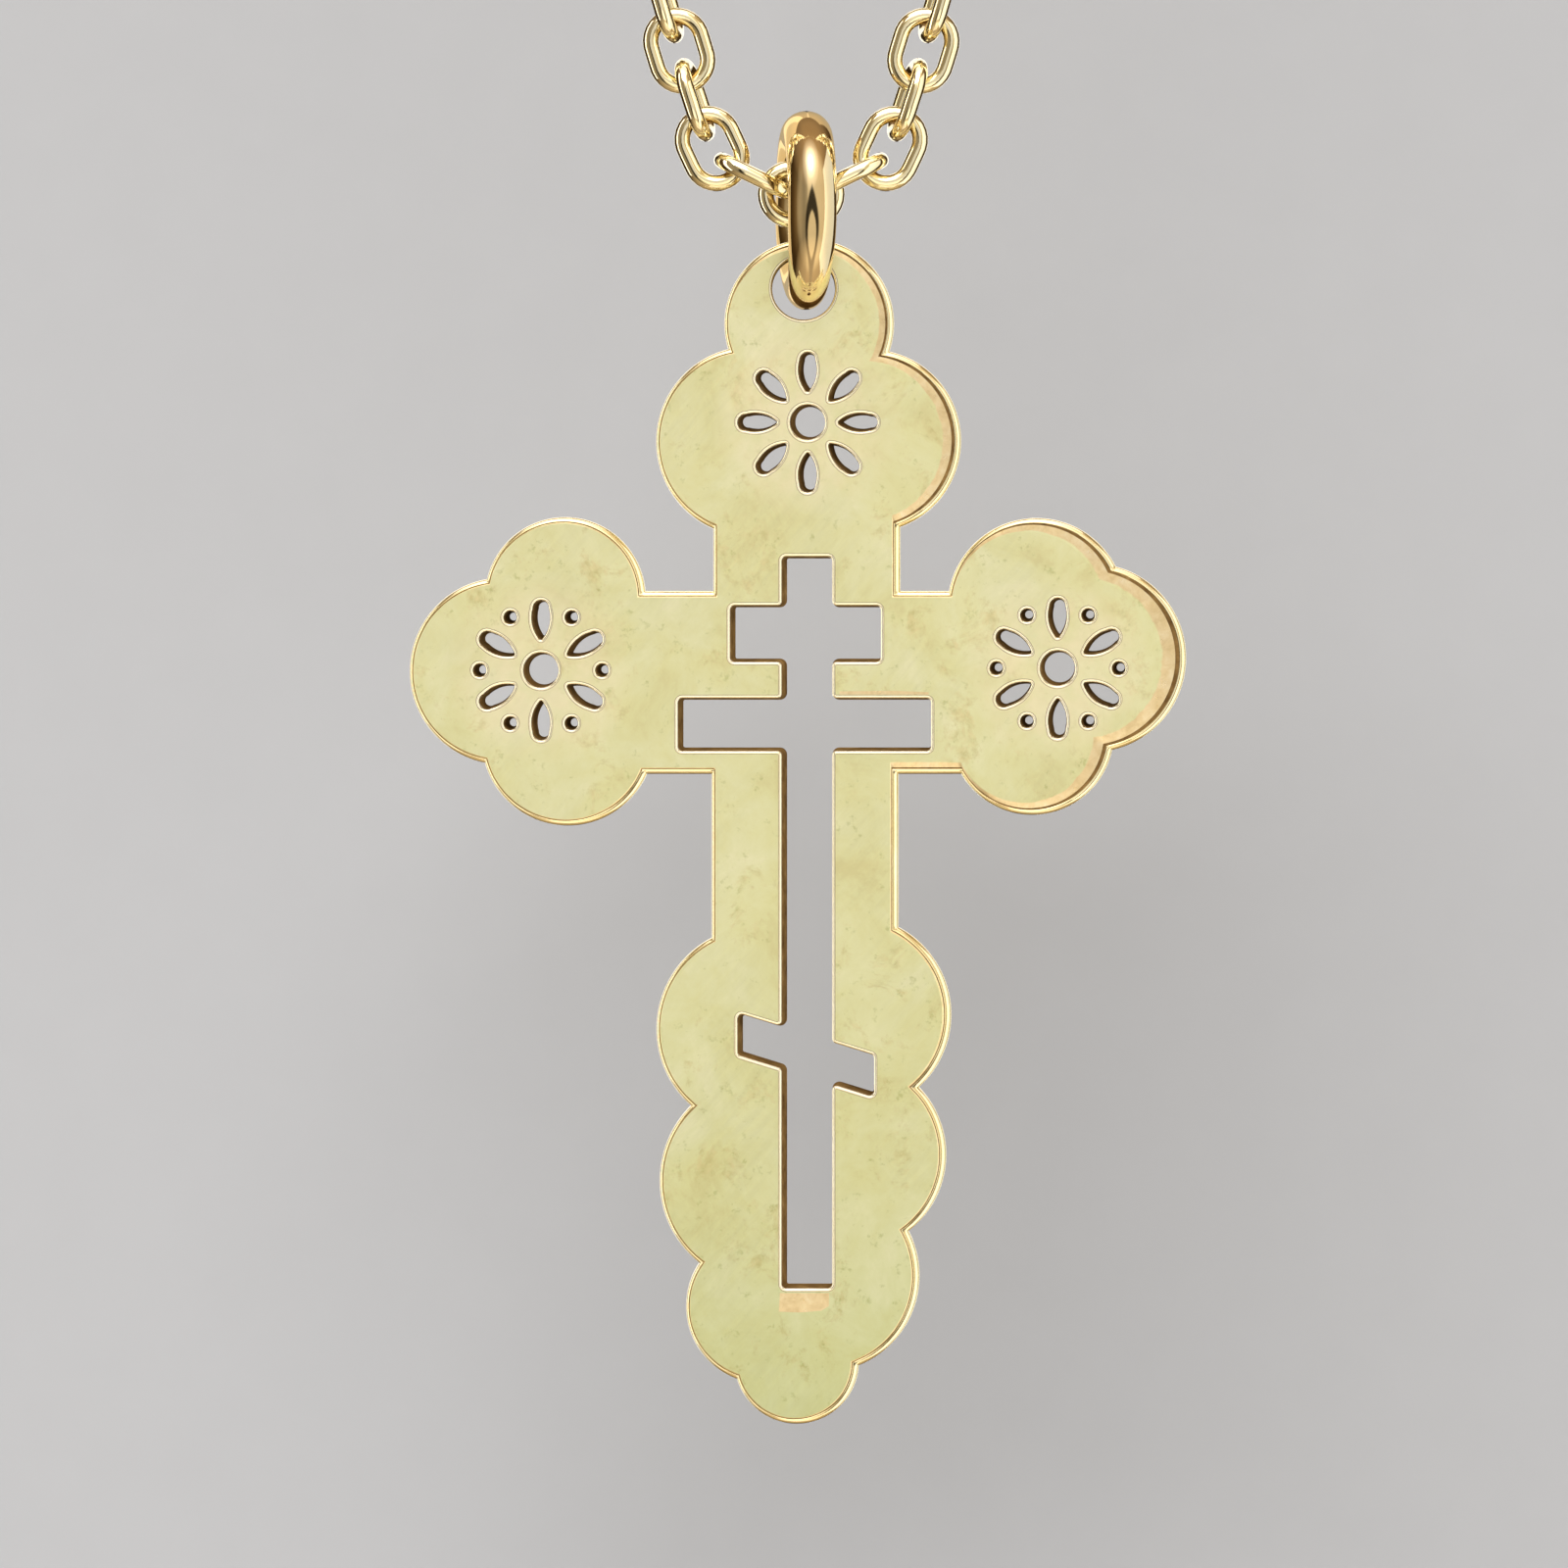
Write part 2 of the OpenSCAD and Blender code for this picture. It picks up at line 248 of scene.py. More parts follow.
# %% [markdown]
# ## The lights
# Polished metal has almost no colour of its own to show: it shows the room. So the room is the first half
# of a good metal. A picture of a real room could be wrapped round the scene, but a soft light that is
# placed by its angle can be moved until its reflection falls where it should. Tall lights stand at the
# sides and behind, and the dark gaps between them draw the dark lines along every polished wire. The flat
# plate, the round bail and the thin chain want different light, so each row ends with the pieces that it is
# meant for. The paper has one wide light to itself.

# %% Hang the lights
AIM = Vector((0, 0, hole_z - PICTURE_MIDDLE_BELOW_HOLE))
LIGHT_DISTANCE = 700.0
ALL_BUT_BAIL, BAIL_ALONE = "all_but_bail", "bail_alone"
PLATE_ALONE, CHAIN_ALONE = "plate_alone", "chain_alone"
SOFTBOXES = [
    # name, degrees to the right of the camera, degrees above it, width and height in millimetres,
    # brightness, colour, pieces that it lights
    ("front_fill",     4,   6, 420, 1050, 0.78, (1.00, 0.96, 0.92), ALL_BUT_BAIL),
    ("low_fill",       8, -58, 420,  420, 0.70, (1.00, 0.90, 0.78), ALL_BUT_BAIL),
    ("right_window",  68,  -8, 780, 1500, 1.05, (0.97, 1.00, 0.97), ALL_BUT_BAIL),
    ("chain_key",    -12,  52, 560,  420, 3.60, (1.00, 0.98, 0.94), CHAIN_ALONE),
    ("plate_key",    -12,  52, 560,  420, 0.40, (1.00, 0.98, 0.94), PLATE_ALONE),
    ("left_strip",   -80,   5, 190, 1100, 2.60, (1.00, 0.97, 0.90), ALL_BUT_BAIL),
    ("ceiling",        0,  86, 900,  420, 1.40, (1.00, 0.98, 0.95), ALL_BUT_BAIL),
    ("bail_window",   92,  -6, 900, 1500, 0.80, (0.97, 1.00, 0.94), BAIL_ALONE),
    ("bail_disc",     -6,  54, 230,  230, 2.60, (1.00, 0.99, 0.96), BAIL_ALONE),
    ("bail_card",   -145,  10, 500, 1100, 0.80, (1.00, 0.78, 0.46), BAIL_ALONE),
    ("plate_left",   -50, -12, 420, 1100, 0.85, (1.00, 0.96, 0.88), PLATE_ALONE),
    ("plate_back_l", -128,  0, 560, 1200, 0.80, (1.00, 0.97, 0.92), PLATE_ALONE),
    ("plate_back_r",  128,  0, 560, 1200, 0.80, (1.00, 0.97, 0.92), PLATE_ALONE),
    ("back_left",   -166,  15, 320,  900, 1.40, (1.00, 0.97, 0.93), ALL_BUT_BAIL),
    ("back_right",   166,  15, 320,  900, 1.40, (1.00, 0.97, 0.93), ALL_BUT_BAIL),
    ("bail_back_l", -166,  15, 320,  900, 0.50, (1.00, 0.80, 0.50), BAIL_ALONE),
    ("bail_back_r",  166,  15, 320,  900, 0.50, (1.00, 0.80, 0.50), BAIL_ALONE),
]
ROUND_LIGHTS = ("bail_disc",)


def direction(turn, above):
    """The way to something that stands turned to the right of the camera and above it, in degrees."""
    t, e = math.radians(turn), math.radians(above)
    return Vector((math.sin(t) * math.cos(e), -math.cos(t) * math.cos(e), math.sin(e)))


def hang_softbox(name, turn, above, width, height, brightness, colour):
    """A soft light that looks at the middle of the picture. Its power follows from its brightness."""
    data = bpy.data.lights.new(name, "AREA")
    is_round = name in ROUND_LIGHTS
    data.shape = "ELLIPSE" if is_round else "RECTANGLE"
    data.size = width * MM
    data.size_y = height * MM
    area = data.size * data.size_y * (math.pi / 4 if is_round else 1)
    data.energy = brightness * math.pi * area
    data.color = colour
    light = bpy.data.objects.new(name, data)
    way = direction(turn, above)
    light.location = (AIM + way * LIGHT_DISTANCE) * MM
    light.rotation_euler = (-way).to_track_quat("-Z", "Y").to_euler()
    light.visible_camera = False
    bpy.context.scene.collection.objects.link(light)
    return light


softboxes = {name: hang_softbox(name, *shape) for name, *shape, _ in SOFTBOXES}
print("softboxes:", list(softboxes))

# %% Light the paper
PAPER_LIGHT_TURN_AND_HEIGHT = (-20, 40)
PAPER_LIGHT_SPREAD = math.radians(70)
PAPER_LIGHT_STRENGTH = 6.3


def light_the_paper():
    """A wide and far light for the paper alone, which makes it even from every side."""
    data = bpy.data.lights.new("paper_light", "SUN")
    data.angle = PAPER_LIGHT_SPREAD
    data.energy = PAPER_LIGHT_STRENGTH
    light = bpy.data.objects.new("paper_light", data)
    light.rotation_euler = (-direction(*PAPER_LIGHT_TURN_AND_HEIGHT)).to_track_quat("-Z", "Y").to_euler()
    bpy.context.scene.collection.objects.link(light)
    return light


paper_light = light_the_paper()
print(f"the paper's light is {math.degrees(PAPER_LIGHT_SPREAD):.0f} degrees wide")

# %% [markdown]
# ## The air of the room
# Between the lights, polished metal mirrors the room itself. One flat world colour would leave it grey. So
# the world is coloured by direction: tan in front, brown at the left, dark behind, a little lighter
# overhead and below, with a soft glow high in front. The camera on its stand is mirrored too, as a dark
# spindle with a tan middle. Where the picture looks straight into the air, it is plain and pale.

# %% Write the helpers for the air
def mix(tree, amount, first, second, blend="MIX"):
    """Mixes two colours. The amount is a number or a socket."""
    node = tree.nodes.new("ShaderNodeMix")
    node.data_type = "RGBA"
    node.blend_type = blend
    if isinstance(amount, (int, float)):
        node.inputs["Factor"].default_value = amount
    else:
        tree.links.new(amount, node.inputs["Factor"])
    tree.links.new(first, node.inputs["A"])
    tree.links.new(second, node.inputs["B"])
    return node.outputs["Result"]


def as_share(tree, along):
    """One axis of a direction, which runs from -1 to 1, as a share from 0 to 1."""
    node = tree.nodes.new("ShaderNodeMapRange")
    node.inputs["From Min"].default_value = -1
    tree.links.new(along, node.inputs["Value"])
    return node.outputs["Result"]


def calculate(tree, operation, first, second):
    """One step of arithmetic. The first value is a socket, and the second is a number or a socket."""
    node = tree.nodes.new("ShaderNodeMath")
    node.operation = operation
    tree.links.new(first, node.inputs[0])
    if isinstance(second, (int, float)):
        node.inputs[1].default_value = second
    else:
        tree.links.new(second, node.inputs[1])
    return node.outputs["Value"]


def away(tree, along, middle, half_length, power):
    """How far a direction is from a spot's middle along one axis, where the spot's tip counts as one half."""
    offset = calculate(tree, "ABSOLUTE", calculate(tree, "SUBTRACT", along, middle), 0)
    share = calculate(tree, "POWER", calculate(tree, "DIVIDE", offset, half_length), power)
    return calculate(tree, "MULTIPLY", share, 0.5)


def spot(tree, way, across, upright):
    """How far a direction is from the middle of a spot, whose outline is at one half. Each axis has a middle,
    a half length and a power: 1 makes the outline pointed there and 2 makes it round."""
    return calculate(tree, "ADD", away(tree, way["X"], *across), away(tree, way["Z"], *upright))


def background(tree, colour, brightness=1.0):
    """One layer of the world. Its colour is a socket."""
    node = tree.nodes.new("ShaderNodeBackground")
    node.inputs["Strength"].default_value = brightness
    tree.links.new(colour, node.inputs["Color"])
    return node.outputs["Background"]


print("helpers:", [helper.__name__ for helper in (mix, as_share, calculate, away, spot, background)])

# %% Colour the air by direction
GLOW_TURN_AND_HEIGHT = (-6, 54)
GLOW_BRIGHTNESS = 1.2
PALE_AIR = (0.64, 0.63, 0.61)


def mirrored_camera(tree, way):
    """The camera on its stand, a dark spindle with a tan middle. It is multiplied onto the air."""
    spindle = ramp(tree, spot(tree, way, (0.0, 0.56, 1.0), (-0.30, 0.80, 2.0)), [(0.40, 0.06), (0.50, 1.0)])
    heart = ramp(tree, spot(tree, way, (0.0, 0.36, 1.3), (-0.44, 0.44, 2.0)), [(0.38, 0.95), (0.50, 0.0)])
    return mix(tree, 1.0, spindle, heart, "LIGHTEN")


def room_colour(tree, way):
    """The colour of the room in each direction, without the glow."""
    depth = ramp(tree, as_share(tree, way["Y"]), [
        (0.0, (0.78, 0.65, 0.45)), (0.25, (0.70, 0.56, 0.37)), (0.40, (0.20, 0.13, 0.06)),
        (0.52, (0.12, 0.07, 0.028)), (0.62, (0.08, 0.045, 0.016)), (1.0, (0.06, 0.034, 0.012))])
    side = ramp(tree, as_share(tree, way["X"]), [
        (0.0, 1.0), (0.06, 0.60), (0.20, 0.38), (0.30, 0.50), (0.36, 1.0)])
    height = as_share(tree, way["Z"])
    over = ramp(tree, height, [(0.70, (0.0, 0.0, 0.0)), (0.95, (0.30, 0.20, 0.11))])
    low = ramp(tree, height, [(0.0, (0.46, 0.35, 0.22)), (0.10, (0.40, 0.30, 0.18)), (0.26, (0.0, 0.0, 0.0))])
    shaded = mix(tree, 1.0, mix(tree, 1.0, depth, side, "MULTIPLY"), mirrored_camera(tree, way), "MULTIPLY")
    return mix(tree, 1.0, mix(tree, 1.0, shaded, over, "ADD"), low, "ADD")


def glow(tree, towards):
    """A soft glow, which fades out 34 degrees from its middle."""
    near = tree.nodes.new("ShaderNodeVectorMath")
    near.operation = "DOT_PRODUCT"
    near.inputs[1].default_value = direction(*GLOW_TURN_AND_HEIGHT)
    tree.links.new(towards, near.inputs[0])
    return ramp(tree, near.outputs["Value"], [(0.83, 0.0), (0.93, 0.30), (0.985, 1.0)])


def fill_the_air():
    """Sets the world: the room and the glow in reflections, and pale air where the picture looks into it."""
    world = bpy.data.worlds.new("studio_air")
    bpy.context.scene.world = world
    world.use_nodes = True
    tree = world.node_tree
    tree.nodes.clear()
    output = tree.nodes.new("ShaderNodeOutputWorld")
    towards = tree.nodes.new("ShaderNodeTexCoord").outputs["Generated"]
    split = tree.nodes.new("ShaderNodeSeparateXYZ")
    tree.links.new(towards, split.inputs["Vector"])
    air = tree.nodes.new("ShaderNodeAddShader")
    tree.links.new(background(tree, room_colour(tree, split.outputs)), air.inputs[0])
    tree.links.new(background(tree, glow(tree, towards), GLOW_BRIGHTNESS), air.inputs[1])
    pale = tree.nodes.new("ShaderNodeBackground")
    pale.inputs["Color"].default_value = (*PALE_AIR, 1)
    path = tree.nodes.new("ShaderNodeLightPath")
    either = tree.nodes.new("ShaderNodeMixShader")
    tree.links.new(path.outputs["Is Camera Ray"], either.inputs["Fac"])
    tree.links.new(air.outputs["Shader"], either.inputs[1])
    tree.links.new(pale.outputs["Background"], either.inputs[2])
    tree.links.new(either.outputs["Shader"], output.inputs["Surface"])
    return world


air = fill_the_air()
bpy.context.scene.view_settings.view_transform = "Standard"
print("nodes in the air:", len(air.node_tree.nodes))

# %% [markdown]
# ## The satin face
# The alloy is the same everywhere, and only the finish changes: there are eight finishes in all. The
# largest is the face of the plate. It was rubbed on a flat stone, so it is satin, with fine slanting
# strokes, cloudy patches and a few stains. It grows darker and greener towards the foot, and the darkening
# is painted shade, as if less light fell there. It is paler round each rosette. In a band along the rim the
# buffing wheel reached over the edge, so the metal is warmer and smoother there. Two warm spots beside the
# bars are painted highlights. A painted picture could carry all this, but it would blur up close. Noise at
# the size of the real marks stays sharp, and a value on the mesh says where the band and the two spots lie.

# %% Colour the satin face
PLATE_FOOT_BELOW_HOLE = 38.3
ROSETTES = [(0.13, -4.52), (-8.85, -12.87), (8.55, -12.80)]
HALO_REACH = 3.3


def stained_yellow(tree, own):
    """Pale yellow clouds with olive stains and fine specks."""
    clouds = ramp(tree, noise(tree, own, 0.35, detail=9, roughness=0.70, distortion=0.5), [
        (0.34, (0.72, 0.70, 0.40)), (0.44, (0.77, 0.78, 0.47)), (0.56, (0.80, 0.82, 0.54)),
        (0.70, (0.86, 0.87, 0.63))])
    stain_place = ramp(tree, noise(tree, own, 0.6, detail=9, roughness=0.75, distortion=0.4), [
        (0.56, 0.0), (0.66, 0.7)])
    stain = ramp(tree, noise(tree, own, 3.2, detail=4), [
        (0.38, (0.58, 0.54, 0.26)), (0.62, (0.76, 0.69, 0.40))])
    specks = ramp(tree, noise(tree, own, 2.6, detail=5, roughness=0.7), [
        (0.60, (1.0, 1.0, 1.0)), (0.70, (0.80, 0.82, 0.70))])
    return mix(tree, 1.0, mix(tree, stain_place, clouds, stain), specks, "MULTIPLY")


def stroked(tree, own, colour, strokes):
    """The colour with darker strokes, which some places have more of than others."""
    tint = ramp(tree, strokes, [(0.30, 0.92), (0.62, 1.0)])
    place = ramp(tree, noise(tree, own, 0.22, detail=3), [(0.44, 0.15), (0.62, 1.0)])
    return mix(tree, place, colour, tint, "MULTIPLY")


def painted_shade_at_the_foot(tree, own, colour):
    """The colour, untouched at the height of the hole and darkest at the foot of the plate. The darkening is
    painted shade, as if less light fell on the foot.
    """
    height = tree.nodes.new("ShaderNodeSeparateXYZ")
    tree.links.new(own, height.inputs["Vector"])
    share = tree.nodes.new("ShaderNodeMapRange")
    share.inputs["From Min"].default_value = hole_z - PLATE_FOOT_BELOW_HOLE
    share.inputs["From Max"].default_value = hole_z
    tree.links.new(height.outputs["Z"], share.inputs["Value"])
    # darker towards the foot: painted shade
    tone = ramp(tree, share.outputs["Result"], [
        (0.0, (0.82, 0.87, 0.79)), (0.2, (0.91, 0.93, 0.88)), (0.45, (0.97, 0.98, 0.96)), (1.0, 1.0)])
    return mix(tree, 1.0, colour, tone, "MULTIPLY")


def paler_round_the_rosettes(tree, own, colour):
    """The colour with a pale halo round each rosette, where a cloth wiped more than elsewhere."""
    halo = None
    for x, z in ROSETTES:
        near = tree.nodes.new("ShaderNodeVectorMath")
        near.operation = "DISTANCE"
        near.inputs[1].default_value = (x, -half_plate, hole_z + z)
        tree.links.new(own, near.inputs[0])
        reach = calculate(tree, "DIVIDE", near.outputs["Value"], HALO_REACH)
        ring = ramp(tree, reach, [(0.0, 0.9), (0.62, 0.7), (1.0, 0.0)])
        halo = ring if halo is None else mix(tree, 1.0, halo, ring, "ADD")
    wiped = ramp(tree, noise(tree, own, 1.1, detail=5, roughness=0.6), [(0.35, 0.25), (0.60, 1.0)])
    pale = ramp(tree, noise(tree, own, 3.0, detail=3), [(0.3, (0.85, 0.81, 0.57)), (0.7, (0.89, 0.85, 0.62))])
    return mix(tree, mix(tree, 1.0, halo, wiped, "MULTIPLY"), colour, pale)


print("rosettes with a pale halo:", len(ROSETTES))

# %% Finish the satin face
STROKE_STRETCH = (2.4, 1, 0.30)
STROKE_SLANT = math.radians(42)


def bump(tree, shader, height, strength, depth_mm, under=None):
    """Adds one layer of relief. A second layer lies on the first when it is given as under."""
    node = tree.nodes.new("ShaderNodeBump")
    node.inputs["Strength"].default_value = strength
    node.inputs["Distance"].default_value = depth_mm * MM
    tree.links.new(height, node.inputs["Height"])
    if under is not None:
        tree.links.new(under, node.inputs["Normal"])
    tree.links.new(node.outputs["Normal"], shader.inputs["Normal"])
    return node.outputs["Normal"]


def attribute(tree, name):
    """A value that the mesh keeps on each of its points."""
    node = tree.nodes.new("ShaderNodeAttribute")
    node.attribute_name = name
    return node.outputs["Fac"]


def buffed_edge(tree, own):
    """Where the buffed band and the painted highlights beside the bars lie: a value on the mesh says so, and
    noise makes its inner edge ragged.
    """
    ragged = ramp(tree, noise(tree, own, 1.5, detail=6, roughness=0.7), [(0.3, 0.0), (0.7, 0.2)])
    return ramp(tree, mix(tree, 1.0, attribute(tree, "buffed"), ragged, "ADD"), [(0.22, 0.0), (0.34, 1.0)])


def satin_face_material():
    """The whole face: satin, and warmer and smoother in the buffed band."""
    material, tree, shader, _ = make_material("satin_pale_gold")
    shader.inputs["Metallic"].default_value = 1.0
    own = coordinates(tree)
    slanted = coordinates(tree, stretch=STROKE_STRETCH, turn=(0, STROKE_SLANT, 0))
    strokes = noise(tree, slanted, 1.6, detail=7, roughness=0.70)
    satin = stroked(tree, own, stained_yellow(tree, own), strokes)
    satin = paler_round_the_rosettes(tree, own, painted_shade_at_the_foot(tree, own, satin))
    warm = ramp(tree, noise(tree, own, 2.4, detail=6, roughness=0.7, distortion=0.5), [
        (0.32, (0.72, 0.57, 0.31)), (0.52, (0.84, 0.69, 0.41)), (0.72, (0.91, 0.80, 0.55))])
    edge = buffed_edge(tree, own)
    tree.links.new(mix(tree, edge, satin, warm), shader.inputs["Base Color"])
    rough = ramp(tree, noise(tree, own, 0.6, detail=6, roughness=0.65), [(0.3, 0.38), (0.7, 0.50)])
    smooth = ramp(tree, noise(tree, own, 2.0, detail=3), [(0.3, 0.26), (0.7, 0.36)])
    tree.links.new(mix(tree, edge, rough, smooth), shader.inputs["Roughness"])
    waves = bump(tree, shader, noise(tree, own, 0.45, detail=3), 0.45, 0.08)
    scratches = bump(tree, shader, strokes, 0.40, 0.018, under=waves)
    bump(tree, shader, noise(tree, own, 12.0, detail=3), 0.2, 0.008, under=scratches)
    return material


satin_face = satin_face_material()
print("nodes in the satin face:", len(satin_face.node_tree.nodes))

# %% [markdown]
# ## The polished finishes
# The rim, the bevels of the openings, the bail and the clasp were buffed with a wheel until they became
# mirrors. A mirror with one colour and no roughness looks like foil. On real metal the gloss is a little
# cloudy, and there are dents too shallow to see, which bend the reflections. One function makes all four
# finishes, and they differ in colour, gloss and the depth of their dents.

# %% Mix the polished finishes
def polished_material(name, pale, deep, gloss, dents_mm, patch=0.5):
    """Buffed metal: a little cloudy in colour and gloss, with dents that only the reflections show."""
    material, tree, shader, _ = make_material(name)
    shader.inputs["Metallic"].default_value = 1.0
    own = coordinates(tree)
    tint = ramp(tree, noise(tree, own, patch, detail=4, roughness=0.6), [(0.3, deep), (0.68, pale)])
    tree.links.new(tint, shader.inputs["Base Color"])
    wipe = noise(tree, coordinates(tree, stretch=(1, 1, 0.3)), 3.0, detail=5, roughness=0.65)
    tree.links.new(ramp(tree, wipe, [(0.3, gloss[0]), (0.75, gloss[1])]), shader.inputs["Roughness"])
    dents = bump(tree, shader, noise(tree, own, 0.7, detail=2), 0.4, dents_mm)
    bump(tree, shader, wipe, 0.12, dents_mm * 0.15, under=dents)
    return material


bright_rim = polished_material("bright_rim_gold", (0.98, 0.90, 0.60), (0.94, 0.82, 0.48), (0.10, 0.20), 0.015)
cut_bevel = polished_material("cut_bevel_gold", (1.00, 0.96, 0.78), (0.97, 0.91, 0.66), (0.16, 0.28), 0.01)
bail_gold = polished_material("bail_mirror_gold", (0.93, 0.80, 0.54), (0.90, 0.74, 0.46), (0.06, 0.11), 0.02)
clasp_gold = polished_material("clasp_gold", (0.94, 0.75, 0.38), (0.88, 0.68, 0.31), (0.08, 0.16), 0.02)
print("polished:", [finish.name for finish in (bright_rim, cut_bevel, bail_gold, clasp_gold)])

# %% [markdown]
# ## The walls and the back
# No wheel gets into the sawn openings, so their walls keep a brown film and the marks of the saw. Metal
# turns white at a grazing angle, which is how a wall is always seen from the front. So the walls are a dull
# brown surface and not metal, and stay brown: the dark brown is film and painted shade. It also paints the
# fine line beside the rim dark, a painted dark reflection. The back is stoned flat and left plain, with level
# strokes, a shade deeper than the face.

# %% Mix the brown walls with their painted shade, and the back
def painted_shade_wall_material():
    """The sawn walls: brown and dull, with fine saw marks across the thickness of the plate. The brown is
    film and painted shade.
    """
    material, tree, shader, _ = make_material("sawn_wall_film_and_painted_shade_gold")
    shader.inputs["Specular IOR Level"].default_value = 0.0
    own = coordinates(tree)
    # dark brown: film in the openings, and painted shade where a metal wall would reflect bright
    tint = ramp(tree, noise(tree, own, 1.4, detail=5, roughness=0.65), [
        (0.30, (0.10, 0.055, 0.020)), (0.60, (0.27, 0.165, 0.06)), (0.80, (0.48, 0.33, 0.14))])
    tree.links.new(tint, shader.inputs["Base Color"])
    saw = noise(tree, coordinates(tree, stretch=(6, 0.4, 6)), 1.5, detail=4)
    tree.links.new(ramp(tree, saw, [(0.3, 0.30), (0.7, 0.48)]), shader.inputs["Roughness"])
    bump(tree, shader, saw, 0.5, 0.02)
    return material


def back_material():
    """The back is stoned flat and left plain: straight level strokes, a shade deeper than the face."""
    material, tree, shader, _ = make_material("stoned_back_gold")
    shader.inputs["Metallic"].default_value = 1.0
    own = coordinates(tree)
    strokes = noise(tree, coordinates(tree, stretch=(0.25, 1, 5)), 1.8, detail=6, roughness=0.7)
    clouds = ramp(tree, noise(tree, own, 0.3, detail=5, roughness=0.6), [
        (0.3, (0.76, 0.66, 0.38)), (0.7, (0.84, 0.76, 0.49))])
    tint = ramp(tree, strokes, [(0.3, 0.93), (0.7, 1.0)])
    tree.links.new(mix(tree, 1.0, clouds, tint, "MULTIPLY"), shader.inputs["Base Color"])
    tree.links.new(ramp(tree, strokes, [(0.25, 0.34), (0.75, 0.5)]), shader.inputs["Roughness"])
    bump(tree, shader, strokes, 0.4, 0.012)
    return material


painted_shade_wall = painted_shade_wall_material()
stoned_back = back_material()
print("unpolished:", [finish.name for finish in (painted_shade_wall, stoned_back)])

# %% [markdown]
# ## The chain's gold
# The links are bent from drawn wire and polished all together. Where two links rub, no cloth gets in, and a
# brown film stays in the inside of the bends. The same brown also paints the shade of these creases, which
# ambient occlusion could give, but the exported model would lose it. So the mesh keeps a value that says how
# deep in a bend each point lies, and the film and the painted shade follow that value.

# %% Mix the chain's gold
def chain_material():
    """Drawn wire: a little cloudy, with a brown film and painted shade in the inside of the bends."""
    material, tree, shader, _ = make_material("chain_wire_gold")
    shader.inputs["Metallic"].default_value = 1.0
    own = coordinates(tree)
    tint = ramp(tree, noise(tree, own, 0.45, detail=4, roughness=0.6), [
        (0.3, (0.86, 0.76, 0.48)), (0.7, (0.91, 0.83, 0.58))])
    # the brown in the bends is film, and painted shade of the creases as well
    film_and_shade = ramp(tree, noise(tree, own, 3.0, detail=4), [(0.3, (0.36, 0.21, 0.06)), (0.7, (0.60, 0.40, 0.14))])
    tree.links.new(mix(tree, attribute(tree, "inner_bend"), tint, film_and_shade), shader.inputs["Base Color"])
    draw = noise(tree, own, 5.0, detail=4, roughness=0.6)
    tree.links.new(ramp(tree, draw, [(0.3, 0.06), (0.72, 0.13)]), shader.inputs["Roughness"])
    bump(tree, shader, noise(tree, own, 1.6, detail=2), 0.3, 0.010)
    return material


chain_gold = chain_material()
print("finishes:", [m.name for m in bpy.data.materials if m.name.endswith("gold")])

# %% [markdown]
# ## The outline of the plate
# The outline is a chain of round lobes and short straight edges, seen from the front and read clockwise
# from the top. One long row of points could hold it, but drawn inwards it would cross itself at the sharp
# corners. As discs and edges it is short, and an inset is exact: each disc shrinks, each edge moves
# inwards, and the corners are found again. Every inset then has the same number of points, so two insets at
# two depths can be joined by a band of four-sided faces. That is how the rim's rounding, the fine line
# beside it and the buffed band are made.

# %% List the outline's elements
def disc(x, z, r, buffed=0.0):
    """A lobe. Buffed is the width of the polished band at its right-hand side."""
    return {"kind": "disc", "x": x, "z": z, "r": r, "buffed": buffed}


RUNS = {"down": (0, -1), "up": (0, 1), "right": (1, 0), "left": (-1, 0)}


def edge(runs, at, buffed=0.0):
    """A straight edge at one x (runs up or down) or at one z (runs left or right)."""
    return {"kind": "edge", "runs": RUNS[runs], "at": at, "buffed": buffed}


OUTLINE = [
    disc(0.19, -1.20, 2.86, 0.26),      # top
    disc(2.23, -5.14, 3.08, 0.40),      # right below the top
    edge("down", 3.26),                 # neck
    edge("right", -10.20),              # right arm, upper edge
    disc(7.85, -10.74, 3.00, 0.52),     # right arm, upper
    disc(9.71, -12.45, 3.18, 0.62),     # right arm, outer
    disc(7.70, -14.98, 2.76, 0.48),     # right arm, lower
    edge("left", -16.36, 0.22),         # right arm, lower edge
    edge("down", 3.20),                 # stem
    disc(1.67, -24.46, 3.31, 0.03),     # foot, first right
    disc(1.55, -29.18, 3.26),           # foot, second right
    disc(0.65, -33.26, 3.26),           # foot, third right
    disc(-0.23, -36.15, 2.10),          # foot, lowest
    disc(-1.35, -34.29, 2.61),          # foot, third left
    disc(-1.29, -30.06, 3.56),          # foot, second left
    disc(-1.50, -24.95, 3.46),          # foot, first left
    edge("up", -3.10),                  # stem
    edge("left", -16.36),               # left arm, lower edge
    disc(-7.94, -15.19, 2.91),          # left arm, lower
    disc(-10.12, -12.90, 3.15),         # left arm, outer
    disc(-8.03, -10.42, 2.71),          # left arm, upper
    edge("right", -10.20),              # left arm, upper edge
    edge("up", -3.04),                  # neck
    disc(-1.77, -5.16, 3.20),           # left below the top
]
print("outline elements:", len(OUTLINE))

# %% Draw an element in
HAIRLINE = 0.03


def inset_element(element, inset, shift, band):
    """The element drawn in by inset and slid sideways by shift. The band, from 0 to 1, grows to the right."""
    extra = band * (HAIRLINE + element["buffed"])
    if element["kind"] == "disc":
        slide = band * element["buffed"] / 2
        return {**element, "x": element["x"] + shift - slide, "r": element["r"] - inset - extra + slide}
    dx, dz = element["runs"]
    inward = (dz, -dx)
    line = element["at"] + (inward[0] + inward[1]) * (inset + extra) + (shift if dz else 0)
    return {**element, "at": line}


smaller = inset_element(OUTLINE[0], inset=0.1, shift=0.0, band=0.0)
print(f"the top lobe, drawn in by 0.1 mm, has a radius of {smaller['r']:.2f} mm")

